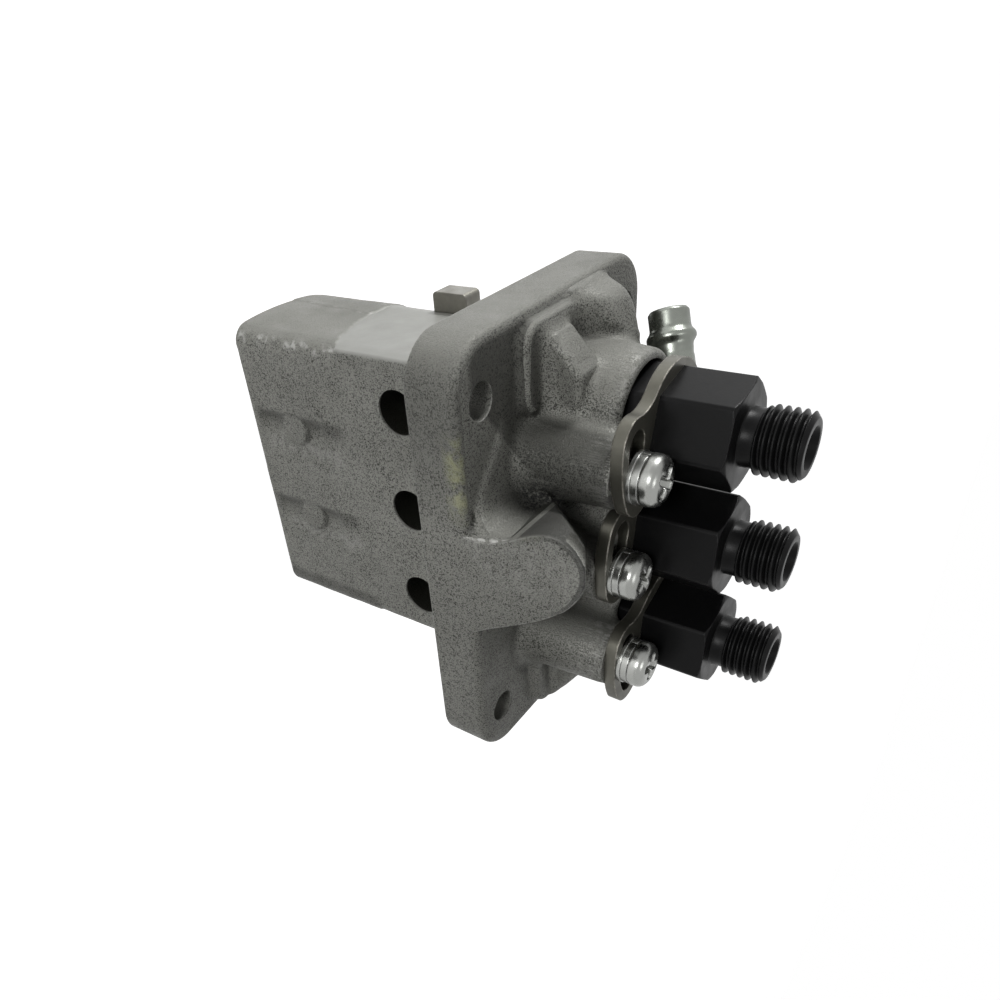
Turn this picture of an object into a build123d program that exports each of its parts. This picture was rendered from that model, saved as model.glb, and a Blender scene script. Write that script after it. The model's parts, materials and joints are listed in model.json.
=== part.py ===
"""Three element diesel injection pump, flange mounted, driven from below by a camshaft."""

from build123d import *
import os
from math import cos, hypot, radians, sin, tan

os.makedirs("parts", exist_ok=True)

# Frame: +Z along the plungers, outlets up, z = 0 on the flange's mounting face.
# X runs along the row of elements, and -Y is the side with the three windows.

# Row of elements
element_count = 3
pitch = 22.0
row_y = 3.5

# Mounting flange
flange_length = 88.0
flange_width = 64.0
flange_thickness = 10.0
flange_corner = 9.0
flange_edge = 1.5
bolt_spacing_x = 67.0
bolt_spacing_y = 50.0
bolt_hole = 6.6

# Body below the flange
body_length = 65.0
body_depth = 34.6
body_height = 64.0
body_corner = 3.5
body_far_corner = 10.0
body_edge = 2.6
band_height = 30.0
band_step = 0.4
window_diameter = 9.5
window_z = -18.5
valley_width = 13.0
valley_depth = 2.2
valley_low = 62.0
valley_high = 40.0
pad_diameter = 6.8
pad_height = 1.1
pad_z = -53.0

# Casting above the flange
tower_radius = 12.0
tower_top = 25.6
tower_lip = 1.4
collar_bore = 10.4
collar_floor = 20.6
web_half_width = 9.0
web_top = 21.0
web_round = 1.5
base_cove = 3.0

# Low step of the casting at both ends, under the ribs
step_inner_x = 26.0
step_outer_x = 42.0
step_near_y = -14.2
step_far_y = 4.2
step_corner = 4.0
step_top = 12.2
step_round = 1.0

# End ribs, which climb from the flange's ends to the end towers
rib_root_x = 33.0
rib_inner_x = 27.6
rib_round = 1.4
end_ribs = [
    {"side": -1, "low_y": -8.8, "high_y": -1.2, "reach": 39.4, "foot_z": 13.6, "root_z": 19.4, "lean": 0},
    {"side": 1, "low_y": -8.8, "high_y": -1.2, "reach": 42.3, "foot_z": 12.6, "root_z": 19.5, "lean": 0},
    {"side": -1, "low_y": 4.6, "high_y": 15.0, "reach": 41.6, "foot_z": 15.0, "root_z": 18.9, "lean": 38},
]

# Screw bosses
screw_reach = 14.5
screw_angles = [-74.0, -82.0, -90.0]
screw_boss_radius = 6.2
boss_web_width = 11.0
screw_diameter = 5.0
screw_depth = 14.0
screw_tip_room = 2.0

# Lock plates
plate_low_z = 26.1
plate_thickness = 2.3
plate_stack_gap = 0.2
plate_ring_radius = 11.3
plate_lobe_radius = 5.0
plate_lobe_span = 36.0
plate_slot_width = 5.6
plate_neck_fillet = 7.0
hex_play = 0.1
lobe_angles = [-79.0, -93.0, -83.0]

# Screws and washers
washer_radius = 4.7
washer_thickness = 0.8
spring_washer_radius = 4.5
spring_washer_thickness = 1.3
spring_washer_split = 0.5
head_radius = 4.6
head_height = 3.3
head_round = 1.5
recess_width = 1.5
recess_span = 5.4
recess_depth = 1.9

# Delivery valve holders
hex_across_flats = 17.0
hex_top = 44.0
hex_chamfer = 1.0
hex_turns = [42.0, 48.0, 50.0]
neck_diameter = 10.2
neck_length = 2.6
outlet_thread = 12.0
outlet_length = 8.0
outlet_chamfer = 1.2
outlet_cone = 7.4
outlet_bore = 2.4
holder_thread = 16.0
thread_play = 0.05
o_ring_section = 1.8
o_ring_z = 18.2
holder_foot_z = 5.0

# Delivery valves
valve_seat_radius = 7.5
valve_seat_flange = 3.0
valve_seat_stem_radius = 5.2
valve_seat_height = 8.6
valve_stem_radius = 3.0
valve_head_radius = 3.55
valve_lift = 1.6
spring_room_radius = 4.0
spring_room_top = 27.0
gasket_thickness = 1.0
running_play = 0.02
seat_play = 0.1

# Barrels and plungers
barrel_head_radius = 7.9
barrel_head_height = 9.0
barrel_seat_z = -8.0
barrel_floor_z = -12.0
barrel_shank_radius = 4.8
barrel_foot_z = -24.0
port_diameter = 2.0
port_z = -4.0
plunger_radius = 3.0
plunger_top_z = -6.5
plunger_stroke = 7.0
plunger_neck_radius = 1.8
plunger_foot_height = 1.5
vane_z = -35.5
vane_height = 3.5
vane_thickness = 3.0
vane_reach = 5.9
helix_top_z = -7.5
helix_low_z = -12.5
helix_depth = 0.7

# Fuel gallery
gallery_radius = 2.5
gallery_y = 13.5
gallery_z = -3.5
gallery_groove = 8.9
gallery_groove_height = 5.0
plug_length = 5.0
plug_recess = 2.0

# Control sleeves and rack
sleeve_radius = 6.3
sleeve_play = 0.06
sleeve_top_z = -13.0
sleeve_foot_z = -37.5
arm_z = -23.5
arm_height = 3.0
arm_width = 2.8
arm_reach = 9.8
arm_ball = 1.7
rack_thickness = 5.0
rack_height = 8.6
rack_near_y = 12.3
rack_out = 4.6
rack_end_room = 6.0
rack_travel = 5.0
rack_play = 0.1
notch_play = 0.45
chamber_radius = 7.6

# Tappets, springs and rollers
tappet_bore_radius = 8.75
tappet_play = 0.05
seat_step_z = -29.0
upper_seat_thickness = 1.5
lower_seat_thickness = 1.5
tappet_top_z = -49.0
tappet_height = 18.0
spring_wire = 1.6
spring_mean_radius = 7.5
spring_turns = 5.0
roller_radius = 6.5
roller_length = 8.0
roller_z = -63.5
roller_room = 0.25
pin_radius = 2.5
pin_length = 15.0
bush_wall = 1.2
guide_pin_radius = 2.0
guide_pin_z = -53.0
guide_pin_reach = 7.3
guide_play = 0.06

# Inlet pipe
pipe_radius = 3.95
pipe_wall = 0.9
pipe_x = -12.5
pipe_y = 17.0
pipe_boss_radius = 6.5
pipe_boss_top = 15.0
pipe_depth = 11.0
pipe_bend_radius = 8.0
pipe_turn = 111.0
pipe_heading = 156.6
pipe_straight = 13.0
bead_radius = 4.75
bead_back = 5.2
bead_width = 2.6

# Tongue on the near side of the flange
tongue_points = [
    (9.8, 9.0),
    (1.5, 24.5),
    (-4.5, 30.4),
    (-10.0, 31.6),
    (-15.2, 27.0),
    (-12.3, 17.0),
    (-11.6, 9.0),
]
tongue_inner_y = -12.0
tongue_lean = 5.0
tongue_ridge_y = -29.5
tongue_ridge_z = 31.6
tongue_slope = 31.0
tongue_shoulder = (-14.5, -28.5, 30.5)
tongue_shoulder_fall_x = 0.88
tongue_shoulder_fall_y = 1.15
tongue_cove = 6.0
tongue_cove_x = -12.2
tongue_cove_turn = 38.0

# Values that follow from the driving ones
element_x = [pitch * (i - (element_count - 1) / 2) for i in range(element_count)]
screw_spots = [
    (x + screw_reach * cos(radians(angle)), row_y + screw_reach * sin(radians(angle)))
    for x, angle in zip(element_x, screw_angles)
]
plate_z = [plate_low_z + (plate_thickness + plate_stack_gap) * (1 - i % 2) for i in range(element_count)]
body_near_y = row_y - body_depth / 2
body_far_y = row_y + body_depth / 2
barrel_top_z = barrel_seat_z + barrel_head_height
rack_far_y = rack_near_y + rack_thickness
rack_low_z = arm_z - rack_height / 2
hex_corner_radius = hex_across_flats / 2 / cos(radians(30))


def above(x, y, z):
    """A plane parallel to the flange face, with its origin at the given place."""
    return Plane(origin=(x, y, z), x_dir=(1, 0, 0), z_dir=(0, 0, 1))


def upright(x, y, z=0):
    """A plane through a vertical axis, with its own Y axis pointing up."""
    return Plane(origin=(x, y, z), x_dir=(1, 0, 0), z_dir=(0, -1, 0))


def cove(x, y, radius, size):
    """A hollow fillet round a post that stands on the flange."""
    with BuildPart() as ring:
        with BuildSketch(upright(x, y, flange_thickness)):
            with BuildLine():
                Polyline((radius + size, 0), (radius - 1, 0), (radius - 1, size), (radius, size))
                RadiusArc((radius, size), (radius + size, 0), -size)
            make_face()
        revolve(axis=Axis((x, y, 0), (0, 0, 1)))
    return ring.part


def rounded_block(x, y, length, width, high, corner, top_round):
    """A block of the casting that stands on the flange, with rounded corners and a rounded top edge."""
    with BuildPart() as block:
        with BuildSketch(above(x, y, flange_thickness - flange_edge)):
            RectangleRounded(length, width, corner)
        extrude(amount=high - flange_thickness + flange_edge)
        fillet(block.faces().sort_by(Axis.Z)[-1].edges(), top_round)
    return block.part


def end_rib(side, low_y, high_y, reach, foot_z, root_z, lean):
    """A rounded rib from an end tower to the flange's end; side is 1 towards +X and -1 towards -X."""
    low_z = flange_thickness - 1
    with BuildPart() as rib:
        with BuildSketch(Plane.XZ.offset(-high_y)):
            with BuildLine():
                Polyline(
                    (side * rib_inner_x, low_z),
                    (side * reach, low_z),
                    (side * reach, foot_z),
                    (side * rib_root_x, root_z),
                    (side * rib_inner_x, root_z),
                    close=True,
                )
            make_face()
        extrude(amount=high_y - low_y)
        # A leaning rib has its near wall cut back from its foot upwards
        if lean:
            tilt = radians(lean)
            near_foot = (0, low_y, step_top)
            split(bisect_by=Plane(origin=near_foot, z_dir=(0, -cos(tilt), sin(tilt))), keep=Keep.BOTTOM)
        outer = rib.faces().filter_by(lambda face: abs(face.normal_at().Y) < 0.1)
        rims = outer.edges().filter_by_position(Axis.Z, flange_thickness, root_z + 1)
        fillet(rims.filter_by(lambda edge: abs(edge.center().X) > rib_inner_x + 0.1), rib_round)
    return rib.part


coves = [cove(x, row_y, tower_radius, base_cove) for x in element_x]
coves += [cove(x, y, screw_boss_radius, base_cove) for x, y in screw_spots]

# Tongue: its near face leans back from the flange's near side
with BuildPart() as tongue:
    with BuildSketch(Plane.XZ.offset(flange_width / 2)):
        with BuildLine():
            edge = Spline(*tongue_points)
            Line(edge @ 1, edge @ 0)
        make_face()
    extrude(amount=-(flange_width / 2 + tongue_inner_y))
    lean = radians(tongue_lean)
    foot = (0, -flange_width / 2, flange_thickness - flange_edge)
    split(bisect_by=Plane(origin=foot, z_dir=(0, -cos(lean), sin(lean))), keep=Keep.BOTTOM)
    # Its top slopes down from the ridge towards the screw boss behind it, and off to the first boss's side
    slope = radians(tongue_slope)
    ridge = (0, tongue_ridge_y, tongue_ridge_z)
    split(bisect_by=Plane(origin=ridge, z_dir=(0, sin(slope), cos(slope))), keep=Keep.BOTTOM)
    shoulder_normal = (-tongue_shoulder_fall_x, tongue_shoulder_fall_y, 1)
    split(bisect_by=Plane(origin=tongue_shoulder, z_dir=shoulder_normal), keep=Keep.BOTTOM)

# Cove at the tongue's foot, on the side of the first screw boss, which widens from the near face back
with BuildPart() as tongue_foot:
    with BuildSketch(Plane.XZ.offset(-tongue_inner_y)):
        with BuildLine():
            Polyline(
                (tongue_cove_x - tongue_cove, flange_thickness),
                (tongue_cove_x - tongue_cove, flange_thickness - flange_edge),
                (tongue_cove_x + 3, flange_thickness - flange_edge),
                (tongue_cove_x + 3, flange_thickness + tongue_cove),
                (tongue_cove_x, flange_thickness + tongue_cove),
            )
            RadiusArc(
                (tongue_cove_x, flange_thickness + tongue_cove),
                (tongue_cove_x - tongue_cove, flange_thickness),
                tongue_cove,
            )
        make_face()
    extrude(amount=flange_width / 2 + tongue_inner_y - flange_edge)
    turn = radians(tongue_cove_turn)
    corner = (tongue_cove_x, flange_edge - flange_width / 2, 0)
    split(bisect_by=Plane(origin=corner, z_dir=(-sin(turn), -cos(turn), 0)), keep=Keep.BOTTOM)

# Housing casting
with BuildPart() as housing:
    with BuildSketch(Plane.XY):
        RectangleRounded(flange_length, flange_width, flange_corner)
    extrude(amount=flange_thickness)
    fillet(housing.faces().sort_by(Axis.Z)[-1].edges(), flange_edge)

    # Body, rounded more on the far side, with its lower part a little proud of the machined band
    with BuildSketch(Plane.XY):
        with Locations((0, row_y)):
            Rectangle(body_length, body_depth)
        fillet(vertices().group_by(Axis.Y)[0], body_corner)
        fillet(vertices().group_by(Axis.Y)[-1], body_far_corner)
    extrude(amount=-body_height)
    with BuildSketch(Plane.XY.offset(-band_height)):
        with Locations((0, row_y)):
            Rectangle(body_length + 2 * band_step, body_depth)
        fillet(vertices().group_by(Axis.Y)[0], body_corner)
        fillet(vertices().group_by(Axis.Y)[-1], body_far_corner)
    extrude(amount=-(body_height - band_height))
    fillet(housing.faces().sort_by(Axis.Z)[0].edges(), body_edge)

    # Towers round the holders, joined by a web
    for x in element_x:
        with BuildSketch(above(x, row_y, 0)):
            Circle(tower_radius)
        extrude(amount=tower_top)
    fillet(housing.faces().sort_by(Axis.Z)[-1].edges(), tower_lip)
    row_length = element_x[-1] - element_x[0]
    add(rounded_block(0, row_y, row_length, 2 * web_half_width, web_top, web_round, web_round))
    add(coves)
    step_x = (step_inner_x + step_outer_x) / 2
    step_y = (step_near_y + step_far_y) / 2
    step_length = step_outer_x - step_inner_x
    step_width = step_far_y - step_near_y
    for x in (-step_x, step_x):
        add(rounded_block(x, step_y, step_length, step_width, step_top, step_corner, step_round))
    for rib in end_ribs:
        add(end_rib(**rib))

    # Screw bosses beside the towers
    for (x, y), top in zip(screw_spots, plate_z):
        with BuildSketch(above(x, y, 0)):
            Circle(screw_boss_radius)
        extrude(amount=top)
        add(rounded_block(x, y + screw_reach / 2, boss_web_width, screw_reach, web_top, web_round, web_round))

    # Tongue, which rises from the flange's near side
    add(tongue.part)
    add(tongue_foot.part)

    # Inlet boss
    with BuildSketch(above(pipe_x, pipe_y, 0)):
        Circle(pipe_boss_radius)
    extrude(amount=pipe_boss_top)

    # Shallow valleys between the tappet bores, each with a round pad
    for x in [(a + b) / 2 for a, b in zip(element_x, element_x[1:])]:
        with BuildSketch(above(x, body_near_y, -valley_high)):
            with BuildLine():
                Polyline((-valley_width / 2, 0), (valley_width / 2, 0), (0, valley_depth), close=True)
            make_face()
        extrude(amount=valley_high - valley_low, mode=Mode.SUBTRACT)
        with BuildSketch(Plane.XZ.offset(-body_near_y - valley_depth)):
            with Locations((x, pad_z)):
                Circle(pad_diameter / 2)
        extrude(amount=pad_height)

    # Flange bolt holes
    with Locations((0, 0, flange_thickness)):
        with GridLocations(bolt_spacing_x, bolt_spacing_y, 2, 2):
            Hole(bolt_hole / 2, flange_thickness)

    # Stepped bore of each element
    for x in element_x:
        steps = [
            (plate_z[0] + 1, collar_floor, collar_bore),
            (collar_floor, barrel_seat_z, holder_thread / 2 + thread_play),
            (barrel_seat_z, barrel_floor_z, barrel_shank_radius + seat_play),
            (barrel_floor_z, seat_step_z, chamber_radius),
            (seat_step_z, -body_height, tappet_bore_radius),
            (gallery_z + gallery_groove_height / 2, gallery_z - gallery_groove_height / 2, gallery_groove),
        ]
        for high, low, radius in steps:
            with BuildSketch(above(x, row_y, low)):
                Circle(radius)
            extrude(amount=high - low, mode=Mode.SUBTRACT)

    # Window into each chamber
    for x in element_x:
        with BuildSketch(Plane.XZ.offset(-body_near_y)):
            with Locations((x, window_z)):
                Circle(window_diameter / 2)
        extrude(amount=-(body_depth / 2), mode=Mode.SUBTRACT)

    # Rack tunnel, and a pocket for each sleeve's arm
    with BuildSketch(Plane.YZ.offset(-body_length)):
        with Locations((rack_near_y + rack_thickness / 2, arm_z)):
            Rectangle(rack_thickness + 2 * rack_play, rack_height + 2 * rack_play)
    extrude(amount=2 * body_length, mode=Mode.SUBTRACT)
    for x in element_x:
        with BuildSketch(above(x, row_y, arm_z - arm_height / 2 - 1)):
            with Locations((0, arm_reach / 2)):
                Rectangle(2 * (rack_travel + arm_ball + 1), arm_reach)
        extrude(amount=arm_height + 2, mode=Mode.SUBTRACT)

    # Fuel gallery along the row, fed from the inlet boss
    with BuildSketch(Plane.YZ.offset(element_x[0] - tower_radius / 2)):
        with Locations((gallery_y, gallery_z)):
            Circle(gallery_radius)
    extrude(amount=body_length, mode=Mode.SUBTRACT)
    with BuildSketch(above(pipe_x, pipe_y, pipe_boss_top - pipe_depth)):
        Circle(pipe_radius)
    extrude(amount=pipe_depth, mode=Mode.SUBTRACT)
    with BuildSketch(above(pipe_x, pipe_y, gallery_z)):
        Circle(pipe_radius - pipe_wall)
    extrude(amount=pipe_boss_top - pipe_depth - gallery_z, mode=Mode.SUBTRACT)

    # Tapped holes for the screws, and holes for the tappet guide pins
    for (x, y), top in zip(screw_spots, plate_z):
        with BuildSketch(above(x, y, top)):
            Circle(screw_diameter / 2 + thread_play)
        extrude(amount=-screw_depth, mode=Mode.SUBTRACT)
    for x in element_x:
        with BuildSketch(Plane.XZ.offset(-body_far_y)):
            with Locations((x, guide_pin_z)):
                Circle(guide_pin_radius + running_play)
        extrude(amount=body_depth / 2 - tappet_bore_radius / 2, mode=Mode.SUBTRACT)

housing.part.label = "pump_housing"
export_step(housing.part, "parts/pump_housing.step")


def save(part, name):
    """Labels a finished piece and writes its file."""
    part.label = name
    export_step(part, f"parts/{name}.step")


def ring_piece(x, y, low, height, outer, inner):
    """A plain ring or washer standing on the given level."""
    with BuildPart() as ring:
        with BuildSketch(above(x, y, low)):
            Circle(outer)
            Circle(inner, mode=Mode.SUBTRACT)
        extrude(amount=height)
    return ring.part


# Delivery valve holders, each a turned body on a hexagon
for number, (x, turn) in enumerate(zip(element_x, hex_turns), 1):
    axis = Axis((x, row_y, 0), (0, 0, 1))
    hex_low = collar_floor + seat_play
    hex_rise = 2 * hex_chamfer * tan(radians(30))
    outlet_top = hex_top + neck_length + outlet_length
    cone_low = outlet_top - (outlet_cone - outlet_bore) / 2 / tan(radians(30))
    body_r = holder_thread / 2
    groove_r = body_r - 0.8 * o_ring_section
    foot_room = barrel_top_z + valve_seat_height + valve_lift / 2
    with BuildPart() as holder:
        with BuildSketch(above(x, row_y, hex_low)):
            RegularPolygon(hex_corner_radius, 6, rotation=turn)
        extrude(amount=hex_top - hex_low)
        with BuildSketch(upright(x, row_y)):
            with BuildLine():
                Polyline(
                    (0, hex_low),
                    (hex_corner_radius - hex_chamfer, hex_low),
                    (hex_corner_radius + hex_chamfer, hex_low + hex_rise),
                    (hex_corner_radius + hex_chamfer, hex_top - hex_rise),
                    (hex_corner_radius - hex_chamfer, hex_top),
                    (0, hex_top),
                    close=True,
                )
            make_face()
        revolve(axis=axis, mode=Mode.INTERSECT)
        with BuildSketch(upright(x, row_y)):
            with BuildLine():
                Polyline(
                    (0, outlet_top),
                    (outlet_thread / 2 - outlet_chamfer, outlet_top),
                    (outlet_thread / 2, outlet_top - outlet_chamfer),
                    (outlet_thread / 2, hex_top + neck_length),
                    (neck_diameter / 2, hex_top + neck_length),
                    (neck_diameter / 2, hex_top - 1),
                    (0, hex_top - 1),
                    close=True,
                )
            make_face()
            with BuildLine():
                Polyline(
                    (0, hex_low),
                    (body_r, hex_low),
                    (body_r, o_ring_z + o_ring_section / 2),
                    (groove_r, o_ring_z + o_ring_section / 2),
                    (groove_r, o_ring_z - o_ring_section / 2),
                    (body_r, o_ring_z - o_ring_section / 2),
                    (body_r, holder_foot_z),
                    (0, holder_foot_z),
                    close=True,
                )
            make_face()
        revolve(axis=axis)
        with BuildSketch(upright(x, row_y)):
            with BuildLine():
                Polyline(
                    (0, outlet_top),
                    (outlet_cone / 2, outlet_top),
                    (outlet_bore / 2, cone_low),
                    (outlet_bore / 2, spring_room_top),
                    (spring_room_radius, spring_room_top),
                    (spring_room_radius, foot_room),
                    (valve_seat_stem_radius + seat_play, foot_room),
                    (valve_seat_stem_radius + seat_play, holder_foot_z),
                    (0, holder_foot_z),
                    close=True,
                )
            make_face()
        revolve(axis=axis, mode=Mode.SUBTRACT)
    save(holder.part, f"delivery_holder_{number}")

# Lock plates, each a ring round its holder with a curved slot for its screw
for number, (x, turn, angle, z) in enumerate(zip(element_x, hex_turns, lobe_angles, plate_z), 1):
    lobe = CenterArc((0, 0), screw_reach, angle - plate_lobe_span / 2, plate_lobe_span)
    with BuildPart() as plate:
        with BuildSketch(above(x, row_y, z)) as outline:
            Circle(plate_ring_radius)
            SlotArc(lobe, 2 * plate_lobe_radius)
            necks = outline.vertices().filter_by(lambda v: abs(hypot(v.X, v.Y) - plate_ring_radius) < 0.01)
            fillet(necks.filter_by_position(Axis.Y, -plate_ring_radius, -1), plate_neck_fillet)
            RegularPolygon(hex_corner_radius + hex_play, 6, rotation=turn, mode=Mode.SUBTRACT)
            SlotArc(lobe, plate_slot_width, mode=Mode.SUBTRACT)
        extrude(amount=plate_thickness)
    save(plate.part, f"lock_plate_{number}")

# Screws, spring washers and plain washers that hold the plates
with BuildPart() as plain_washers:
    for (x, y), z in zip(screw_spots, plate_z):
        with BuildSketch(above(x, y, z + plate_thickness)):
            Circle(washer_radius)
            Circle(screw_diameter / 2 + seat_play, mode=Mode.SUBTRACT)
        extrude(amount=washer_thickness)
save(plain_washers.part, "plain_washers")

with BuildPart() as spring_washers:
    for (x, y), z in zip(screw_spots, plate_z):
        with BuildSketch(above(x, y, z + plate_thickness + washer_thickness)):
            Circle(spring_washer_radius)
            Circle(screw_diameter / 2 + seat_play, mode=Mode.SUBTRACT)
            with Locations(Location((-spring_washer_radius, 0), -20)):
                Rectangle(spring_washer_radius, spring_washer_split, mode=Mode.SUBTRACT)
        extrude(amount=spring_washer_thickness)
save(spring_washers.part, "spring_washers")

with BuildPart() as screws:
    for (x, y), z in zip(screw_spots, plate_z):
        under_head = z + plate_thickness + washer_thickness + spring_washer_thickness
        shank_low = z - screw_depth + screw_tip_room
        with BuildSketch(upright(x, y)):
            with BuildLine():
                Polyline(
                    (0, under_head + head_height),
                    (0, shank_low),
                    (screw_diameter / 2, shank_low),
                    (screw_diameter / 2, under_head),
                    (head_radius, under_head),
                    (head_radius, under_head + head_height - head_round),
                )
                RadiusArc(
                    (head_radius, under_head + head_height - head_round),
                    (head_radius - head_round, under_head + head_height),
                    -head_round,
                )
                Line((head_radius - head_round, under_head + head_height), (0, under_head + head_height))
            make_face()
        revolve(axis=Axis((x, y, 0), (0, 0, 1)))
        with BuildSketch(above(x, y, under_head + head_height)):
            Rectangle(recess_span, recess_width)
            Rectangle(recess_width, recess_span)
        extrude(amount=-recess_depth, taper=16, mode=Mode.SUBTRACT)
save(screws.part, "lock_plate_screws")

# Sealing rings of the holders
with BuildPart() as o_rings:
    for x in element_x:
        squeeze = (holder_thread / 2 + thread_play - groove_r) / 2 - running_play
        with BuildSketch(upright(x, row_y)):
            with Locations((groove_r + running_play + squeeze, o_ring_z)):
                Ellipse(squeeze, o_ring_section / 2 - 2 * running_play)
        revolve(axis=Axis((x, row_y, 0), (0, 0, 1)))
save(o_rings.part, "holder_o_rings")

with BuildPart() as gaskets:
    for x in element_x:
        with BuildSketch(above(x, row_y, barrel_top_z + valve_seat_flange)):
            Circle(valve_seat_radius)
            Circle(valve_seat_stem_radius + seat_play, mode=Mode.SUBTRACT)
        extrude(amount=gasket_thickness)
save(gaskets.part, "valve_gaskets")

# Delivery valves, their seats and springs
stem_bore = valve_stem_radius + running_play
seat_top_z = barrel_top_z + valve_seat_height
for number, x in enumerate(element_x, 1):
    axis = Axis((x, row_y, 0), (0, 0, 1))
    with BuildPart() as seat:
        with BuildSketch(upright(x, row_y)):
            with BuildLine():
                Polyline(
                    (stem_bore, barrel_top_z),
                    (valve_seat_radius, barrel_top_z),
                    (valve_seat_radius, barrel_top_z + valve_seat_flange),
                    (valve_seat_stem_radius, barrel_top_z + valve_seat_flange),
                    (valve_seat_stem_radius, seat_top_z),
                    (valve_head_radius, seat_top_z),
                    (stem_bore, seat_top_z - (valve_head_radius - stem_bore)),
                    close=True,
                )
            make_face()
        revolve(axis=axis)
    save(seat.part, f"valve_seat_{number}")

    head_low = seat_top_z - (valve_head_radius - valve_stem_radius) + 0.05
    with BuildPart() as valve:
        with BuildSketch(upright(x, row_y)):
            with BuildLine():
                Polyline(
                    (0, barrel_top_z + 1),
                    (valve_stem_radius, barrel_top_z + 1),
                    (valve_stem_radius, head_low),
                    (valve_head_radius, seat_top_z + 0.05),
                    (valve_head_radius, seat_top_z + 1.5),
                    (1.7, seat_top_z + 1.5),
                    (1.7, seat_top_z + 3.5),
                    (0, seat_top_z + 3.5),
                    close=True,
                )
            make_face()
        revolve(axis=axis)
        # Three flutes for the fuel in the stem
        with BuildSketch(above(x, row_y, barrel_top_z + 1)):
            with PolarLocations(valve_stem_radius, 3):
                Circle(1.4)
        extrude(amount=valve_seat_height - 3.5, mode=Mode.SUBTRACT)
    save(valve.part, f"delivery_valve_{number}")


def coil(x, low, high, mean_radius, wire, turns):
    """A round wire spring between two levels, standing on the row's axis."""
    rise = (high - low - wire) / turns
    with BuildPart() as spring:
        with BuildLine(above(x, row_y, low + wire / 2)):
            path = Helix(rise, high - low - wire, mean_radius)
        with BuildSketch(Plane(origin=path @ 0, z_dir=path % 0)):
            RegularPolygon(wire / 2, 8)
        sweep(is_frenet=True)
    return spring.part


for number, x in enumerate(element_x, 1):
    save(coil(x, seat_top_z + 1.6, spring_room_top - 0.1, 2.6, 0.8, 7), f"valve_spring_{number}")
    save(
        coil(x, tappet_top_z + lower_seat_thickness + 0.1, seat_step_z - upper_seat_thickness - 0.1,
             spring_mean_radius, spring_wire, spring_turns),
        f"plunger_spring_{number}",
    )

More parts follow.
